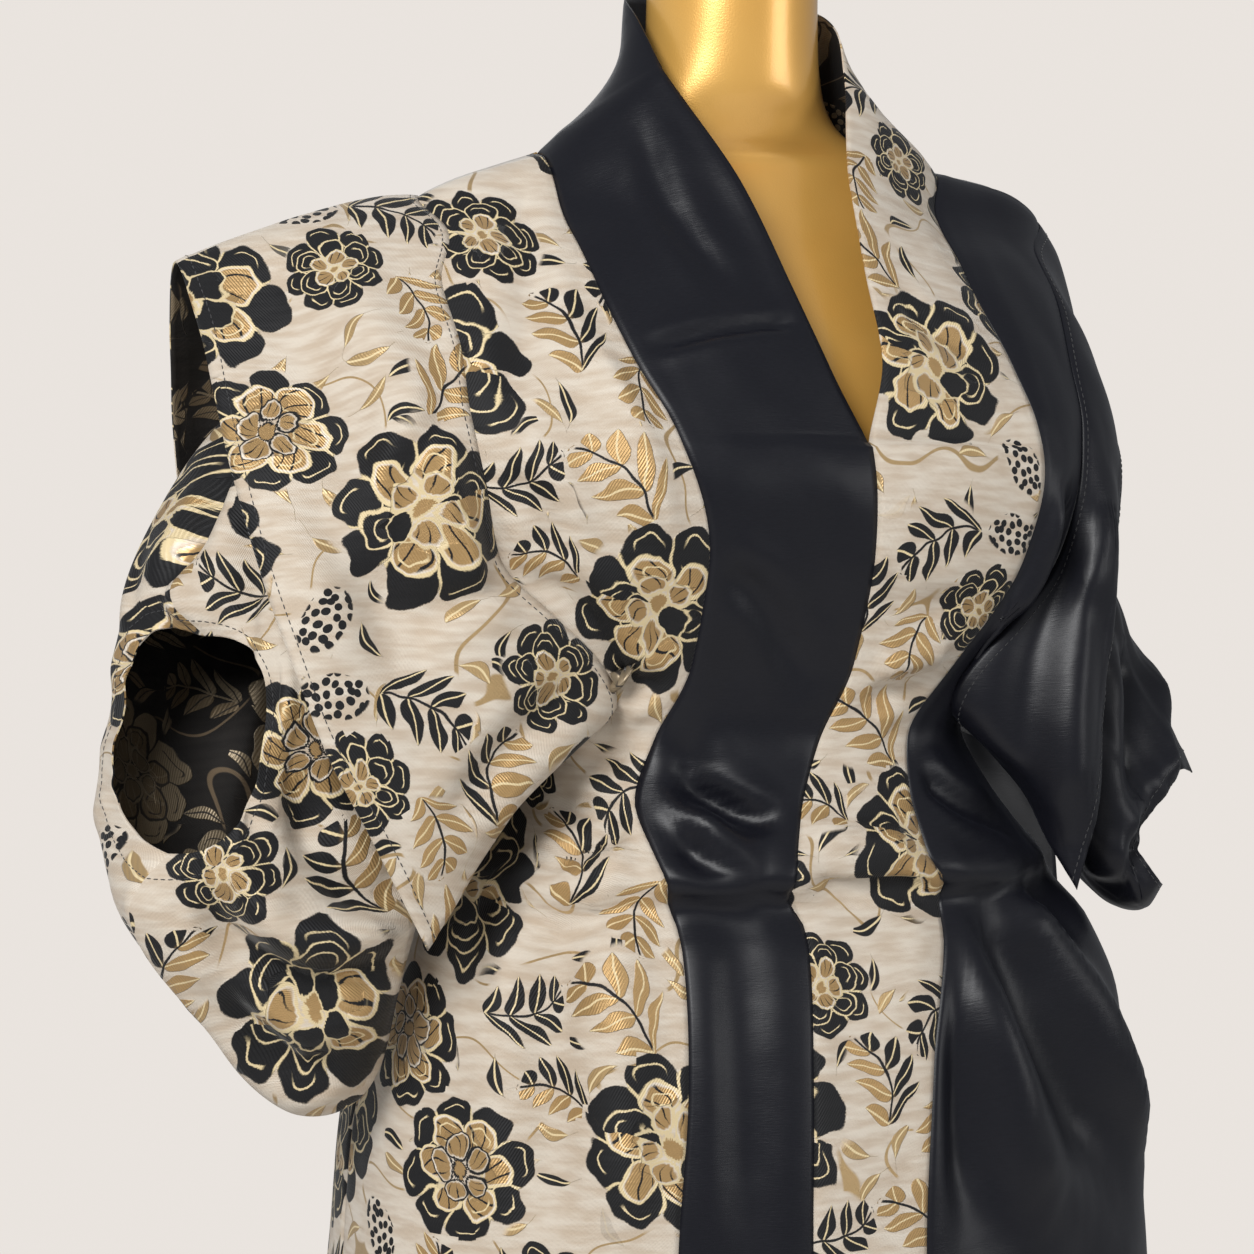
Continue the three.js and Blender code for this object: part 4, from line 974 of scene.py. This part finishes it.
# columns: depth, width, and the points that the crease passes
CREASES = {
    "band_right": [
        (2.2, 5, [(-104, -127, 1360), (-72, -127, 1369), (-30, -128, 1377), (-1, -129, 1379)]),
        (4.5, 12, [(-81, -102, 1128), (-64, -116, 1099), (-42, -138, 1069), (-21, -150, 1045)]),
        (5, 10, [(-86, -123, 1074), (-63, -141, 1057), (-19, -146, 1039)]),
        (-4, 14, [(-73, -115, 1094), (-49, -140, 1063), (-18, -151, 1045)]),
        (3, 16, [(-52, -140, 1020), (-60, -169, 932), (-61, -181, 841)]),
        (2.5, 10, [(-72, -147, 1235), (-37, -140, 1212), (-5, -123, 1166)]),
        (1.8, 8, [(-79, -50, 1505), (-74, -76, 1455), (-51, -114, 1399)]),
        (4, 7, [(-84, -118, 1108), (-52, -128, 1092), (-20, -138, 1078)]),
    ],
    "band_left": [
        (-4, 8, [(-14, -140, 1078), (24, -132, 1064), (66, -124, 1056)]),
        (4, 9, [(40, -117, 1150), (67, -115, 1158), (93, -107, 1158)]),
        (-3, 10, [(43, -123, 1170), (67, -123, 1178), (97, -121, 1186)]),
        (5, 9, [(-17, -150, 1051), (20, -146, 1039), (55, -143, 1039), (82, -132, 1033)]),
        (3, 12, [(40, -148, 1235), (54, -139, 1212), (100, -131, 1205)]),
        (2.5, 9, [(63, -118, 1399), (80, -128, 1375), (115, -128, 1358)]),
    ],
    "front_right": [
        (4, 8, [(-104, -100, 1078), (-125, -98, 1062), (-152, -85, 1050)]),
        (-3.5, 9, [(-104, -110, 1060), (-130, -105, 1044), (-160, -90, 1034)]),
        (3, 8, [(-90, -112, 1132), (-112, -98, 1120), (-140, -80, 1114)]),
        (4, 12, [(-179, -109, 1217), (-157, -122, 1215), (-127, -115, 1189)]),
        (3.5, 10, [(-195, -132, 1287), (-174, -138, 1266), (-163, -130, 1233)]),
        (4, 10, [(-133, -113, 1189), (-109, -105, 1165), (-85, -112, 1160)]),
        (5, 14, [(-120, -91, 1153), (-108, -92, 1120), (-102, -101, 1094)]),
        (4, 14, [(-146, -61, 1089), (-122, -95, 1083), (-101, -116, 1074)]),
        (5, 18, [(-148, -100, 1033), (-168, -127, 946), (-174, -139, 846)]),
        (-4, 20, [(-126, -121, 1043), (-127, -148, 951), (-133, -163, 843)]),
        (3, 12, [(-151, -33, 1462), (-166, -98, 1390), (-186, -129, 1329)]),
        (-3, 16, [(-134, -116, 1371), (-116, -149, 1308), (-102, -145, 1236)]),
    ],
    "front_left": [
        (4, 9, [(80, -112, 1104), (110, -100, 1082), (150, -80, 1062)]),
        (7, 22, [(105, -128, 1022), (128, -142, 982), (170, -140, 915), (219, -121, 832)]),
        (-6, 22, [(94, -129, 1027), (103, -152, 973), (123, -162, 904), (146, -163, 820)]),
        (6, 18, [(83, -140, 1013), (80, -166, 933), (85, -179, 834)]),
        (-5, 16, [(128, -116, 1031), (176, -114, 993), (219, -107, 926), (255, -82, 852)]),
        (4, 12, [(176, -126, 1273), (162, -109, 1217), (129, -92, 1167)]),
        (-4, 10, [(155, -141, 1285), (156, -126, 1236), (133, -116, 1199)]),
    ],
    "cape_right": [
        (6, 26, [(-315, -47, 1388), (-290, -101, 1313), (-264, -129, 1230), (-239, -132, 1143)]),
        (-4, 22, [(-272, -33, 1428), (-249, -109, 1333), (-224, -126, 1259), (-192, -118, 1191)]),
        (4, 10, [(-220, -117, 1329), (-236, -123, 1300), (-256, -127, 1260)]),
        (5, 12, [(-145, -109, 1159), (-183, -122, 1133), (-227, -135, 1087)]),
        (3, 10, [(-195, -112, 1227), (-213, -117, 1213), (-243, -125, 1210)]),
        (3, 12, [(-307, -105, 1280), (-287, -124, 1238), (-252, -127, 1190)]),
        (5, 20, [(-296, 60, 1380), (-280, 100, 1290), (-255, 110, 1190)]),
        (-4, 18, [(-255, 85, 1360), (-240, 105, 1270), (-215, 105, 1190)]),
    ],
    "cape_left": [
        (-7, 16, [(201, -116, 1272), (191, -111, 1198), (178, -121, 1135), (183, -122, 1056)]),
        (5, 16, [(196, 108, 1260), (190, 108, 1180), (196, 112, 1100)]),
    ],
    "sleeve_right": [
        (6, 12, [(-322, -6, 1290), (-350, -19, 1248), (-370, -10, 1213)]),
        (5, 12, [(-317, -51, 1272), (-321, -67, 1237), (-333, -63, 1205)]),
        (7, 14, [(-368, -110, 1045), (-338, -112, 1010), (-301, -122, 996), (-259, -110, 1006)]),
        (-6, 14, [(-351, -118, 1068), (-322, -120, 1027), (-289, -121, 1018), (-246, -102, 1034)]),
        (6, 12, [(-313, -108, 1121), (-298, -114, 1065), (-268, -112, 1040), (-242, -98, 1045)]),
        (5, 12, [(-363, -99, 1009), (-334, -90, 967), (-305, -94, 941), (-282, -99, 947)]),
        (6, 14, [(-250, 80, 1230), (-290, 70, 1150), (-320, 40, 1080)]),
        (-5, 14, [(-280, 85, 1240), (-320, 72, 1170), (-350, 50, 1120)]),
        (6, 14, [(-255, 50, 1110), (-290, 20, 1030), (-320, -10, 980)]),
    ],
    "sleeve_left": [
        (6, 12, [(256, -55, 1183), (248, -82, 1133), (245, -94, 1082)]),
        (-5, 10, [(281, -30, 1171), (278, -63, 1118), (274, -74, 1088)]),
        (5, 10, [(236, -72, 1023), (245, -96, 1051), (261, -85, 1074)]),
        (5, 12, [(225, 76, 1200), (250, 74, 1150), (275, 55, 1105)]),
    ],
    "back_right": [
        (6, 20, [(-60, 128, 1040), (-95, 170, 960), (-120, 190, 850)]),
        (-5, 20, [(-130, 110, 1040), (-170, 140, 950), (-190, 150, 840)]),
        (5, 12, [(-150, 80, 1180), (-110, 100, 1150), (-60, 106, 1120)]),
        (4, 12, [(-160, 100, 1300), (-110, 110, 1270), (-50, 112, 1250)]),
        (4, 10, [(-140, 85, 1095), (-90, 105, 1085), (-30, 118, 1090)]),
    ],
    "back_left": [
        (7, 22, [(70, 130, 1040), (110, 170, 955), (150, 180, 840)]),
        (-6, 20, [(30, 135, 1035), (50, 180, 940), (60, 195, 830)]),
        (5, 12, [(150, 75, 1170), (100, 100, 1140), (40, 106, 1125)]),
        (5, 14, [(170, 95, 1310), (120, 110, 1260), (70, 110, 1190)]),
        (4, 10, [(150, 80, 1090), (90, 108, 1080), (20, 120, 1088)]),
    ],
}


# ---- Stitches ----
STITCH, STITCH_GAP, THREAD_RADIUS = 3.0, 1.6, 0.32
THREAD_LIFT = 0.1  # of the thread's middle over the cloth
# columns: place along a stitch, and its radius there, as shares of its length and the thread's radius
STITCH_PROFILE = ((-0.5, 0.35), (-0.3, 1.0), (0.3, 1.0), (0.5, 0.35))
# where a piece is stitched: an edge, and the distance of the stitches from it in millimetres
STITCHED = {
    "front": [("low", 18)], "back": [("low", 18)], "band": [("low", 18)], "sleeve": [("top", 15)],
    "cape": [("low", 6), ("top", 7)],
}


def stitches(name, lines, sides=6):
    """Short rounded stitches along lines, as one mesh."""
    vertices, faces = [], []
    around = 2 * np.pi * np.arange(sides) / sides
    for line in lines:
        along = np.concatenate([[0], np.cumsum(np.linalg.norm(np.diff(line, axis=0), axis=-1))])
        count = int(along[-1] / (STITCH + STITCH_GAP))
        for k in range(count):
            at = (k + 0.5) * along[-1] / count
            ends = [
                np.array([np.interp(at + step, along, line[:, axis]) for axis in range(3)])
                for step in (-0.5, 0.5)
            ]
            middle, way = (ends[0] + ends[1]) / 2, unit(ends[1] - ends[0])
            flat = unit(np.cross(way, (0, 0.31, 0.95)))
            up = np.cross(flat, way)
            first = len(vertices)
            for place, radius in STITCH_PROFILE:
                for turn in around:
                    side = flat * math.cos(turn) + up * math.sin(turn)
                    vertices.append(middle + way * place * STITCH + side * radius * THREAD_RADIUS)
            last = first + (len(STITCH_PROFILE) - 1) * sides
            for ring in range(first, last, sides):
                for c in range(sides):
                    a, b = ring + c, ring + (c + 1) % sides
                    faces.append((a, b, b + sides, a + sides))
            faces.append(tuple(range(first + sides - 1, first - 1, -1)))
            faces.append(tuple(range(last, last + sides)))
    item = add_mesh(name, np.array(vertices) * MM, faces)
    item.data.materials.append(black_thread)
    item.data.polygons.foreach_set("use_smooth", np.ones(len(faces), dtype=bool))
    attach(item, "root")
    return item


def hem_stitches(node, grid, normals, closed):
    """The stitches of a piece, along the rows that lie at their distances from its edges."""
    lines = []
    heights = cloth_sizes(grid)[..., 1] * 10
    for edge, distance in STITCHED[node.split("_")[0]]:
        reach = heights if edge == "low" else heights[-1:] - heights
        row = np.abs(reach - distance).mean(axis=1).argmin()
        line = grid[row] + normals[row] * (CLOTH / 2 + THREAD_LIFT)
        lines.append(np.append(line, line[:1], axis=0) if closed else line)
    return [stitches(node + "_stitches", lines)]


# ---- Each piece, from grid to cloth ----
def cloth_piece(node, grid, side, cloth, closed=False):
    """One cut piece: its shell and its stitches."""
    material, reverse = {"brocade": (brocade, brocade_reverse), "satin": (satin, satin)}[cloth]
    faces_out = side if node.startswith(("front", "back")) else -side
    normals = grid_normals(grid, faces_out, closed)
    seed = len(node) * 10 + side
    shaped = creased(node, grid, normals, cloth, seed)
    shaped_normals = grid_normals(shaped, faces_out, closed)
    item = shell(node + "_cloth", shaped, shaped_normals, cloth_sides(node, grid, normals, closed),
                 material, reverse, REPEAT_SHIFT.get(node), closed)
    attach(item, "root")
    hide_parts(node)
    threads = hem_stitches(node, shaped, shaped_normals, closed)


for side, word in ((RIGHT, "right"), (LEFT, "left")):
    cloth, other = ("brocade", "satin") if side == RIGHT else ("satin", "brocade")
    cloth_piece("front_" + word, front_grid(side), side, cloth)
    cloth_piece("back_" + word, back_grid(side), side, cloth)
    cloth_piece("band_" + word, band_grid(side), side, other)
    cloth_piece("sleeve_" + word, sleeve_grid(side), side, cloth, closed=True)
    cloth_piece("cape_" + word, cape_grid(side), side, cloth)


# ---- The dress form and its stand ----
def turned_solid(name, rings, material, node):
    """A smooth closed solid through rings of points in millimetres, which stands for a CAD node."""
    rows, sides = rings.shape[:2]
    faces = []
    for r in range(rows - 1):
        for c in range(sides):
            a, b = r * sides + c, r * sides + (c + 1) % sides
            faces.append((a, b, b + sides, a + sides))
    faces.append(tuple(range(sides - 1, -1, -1)))
    faces.append(tuple(range((rows - 1) * sides, rows * sides)))
    item = add_mesh(name, rings.reshape(-1, 3) * MM, faces)
    item.data.materials.append(material)
    smooth = np.ones(len(faces), dtype=bool)
    smooth[-2:] = False
    item.data.polygons.foreach_set("use_smooth", smooth)
    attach(item, "root")
    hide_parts(node)


def form_rings(sides=112, step=5.0):
    low, high = FORM_SECTIONS[0, 0], FORM_SECTIONS[-1, 0]
    # rings that close in round off the top, and close the underside flat
    close = np.array([0.985, 0.94, 0.84, 0.62, 0.30])
    rise = np.array([1.6, 3.2, 4.4, 5.2, 5.5])
    z = np.linspace(low, high - rise[-1], int((high - low) / step) + 1)
    heights = np.concatenate([np.full(len(close), low), z, z[-1] + rise])
    scale = np.concatenate([close[::-1], np.ones(len(z)), close])
    angle = 2 * np.pi * np.arange(sides) / sides
    across, along = np.sin(angle)[None], np.cos(angle)[None]
    half, front, back, square = (table_lookup(FORM_SECTIONS, k, heights)[:, None] for k in (1, 2, 3, 4))
    depth = np.where(along > 0, front, back)
    total = np.abs(across / half) ** square + np.abs(along / depth) ** square
    reach = total ** (-1 / square) * scale[:, None]
    x, y = across * reach, -along * reach
    return np.stack([x, y, np.broadcast_to(heights[:, None], x.shape)], axis=-1)


def lathe_rings(profile, sides=96):
    """Rings from rows of radius and height."""
    profile = np.array(profile, dtype=float)
    angle = -2 * np.pi * np.arange(sides) / sides
    radius = profile[:, :1]
    x, y = radius * np.sin(angle), radius * np.cos(angle)
    return np.stack([x, y, np.broadcast_to(profile[:, 1:], x.shape)], axis=-1)


turned_solid("form_body", form_rings(), gold_lacquer, "dress_form")
turned_solid("pole_tube", lathe_rings([
    (13.2, 22.3), (14, 23), (14, 60), (14, 400), (14, 798.8), (13.2, 799.6),
]), brushed_metal, "stand_pole")
turned_solid("base_plate", lathe_rings([
    (165, 0), (168.5, 0.9), (170, 3), (170, 9), (168.8, 10.8), (166, 12), (150, 14), (110, 16), (60, 18),
    (46, 18.6), (38, 20), (34.6, 21.4), (33.4, 22), (15, 22),
]), brushed_metal, "stand_base")

# ---- Floor, lights ----
FLOOR_REACH, FLOOR_Z = 2.6, -0.0005
corners = [(x * FLOOR_REACH, y * FLOOR_REACH, FLOOR_Z) for x, y in ((-1, -1), (1, -1), (1, 1), (-1, 1))]
floor = add_mesh("floor", corners, [(0, 1, 2, 3)])
floor.data.materials.append(floor_material())


def studio_world(backdrop, soft_light, strength):
    """A pale backdrop, and a dimmer soft light from all round."""
    world = bpy.data.worlds.new("studio")
    bpy.context.scene.world = world
    world.use_nodes = True
    tree = world.node_tree
    light = tree.nodes["Background"]
    plug(tree, light.inputs["Color"], soft_light)
    plug(tree, light.inputs["Strength"], strength)
    seen = tree.nodes.new("ShaderNodeBackground")
    plug(tree, seen.inputs["Color"], backdrop)
    mix = tree.nodes.new("ShaderNodeMixShader")
    tree.links.new(tree.nodes.new("ShaderNodeLightPath").outputs["Is Camera Ray"], mix.inputs[0])
    tree.links.new(light.outputs[0], mix.inputs[1])
    tree.links.new(seen.outputs[0], mix.inputs[2])
    tree.links.new(mix.outputs[0], tree.nodes["World Output"].inputs["Surface"])


studio_world((0.82, 0.775, 0.735), (0.95, 0.97, 1.0), 0.33)
bpy.context.scene.view_settings.view_transform = "Standard"


def area_light(name, place, aim, size, power):
    data = bpy.data.lights.new(name, "AREA")
    data.shape, data.size, data.energy = "SQUARE", size, power
    item = bpy.data.objects.new(name, data)
    item.location = place
    item.rotation_euler = (Vector(place) - Vector(aim)).to_track_quat("Z", "Y").to_euler()
    bpy.context.scene.collection.objects.link(item)


area_light("key", (-1.9, -2.0, 2.5), (0, 0, 1.15), 1.1, 76)
area_light("fill", (2.2, -2.2, 1.5), (0, 0, 1.1), 1.2, 16)
area_light("back", (0.6, 2.4, 2.4), (0, 0, 1.2), 1.6, 5)
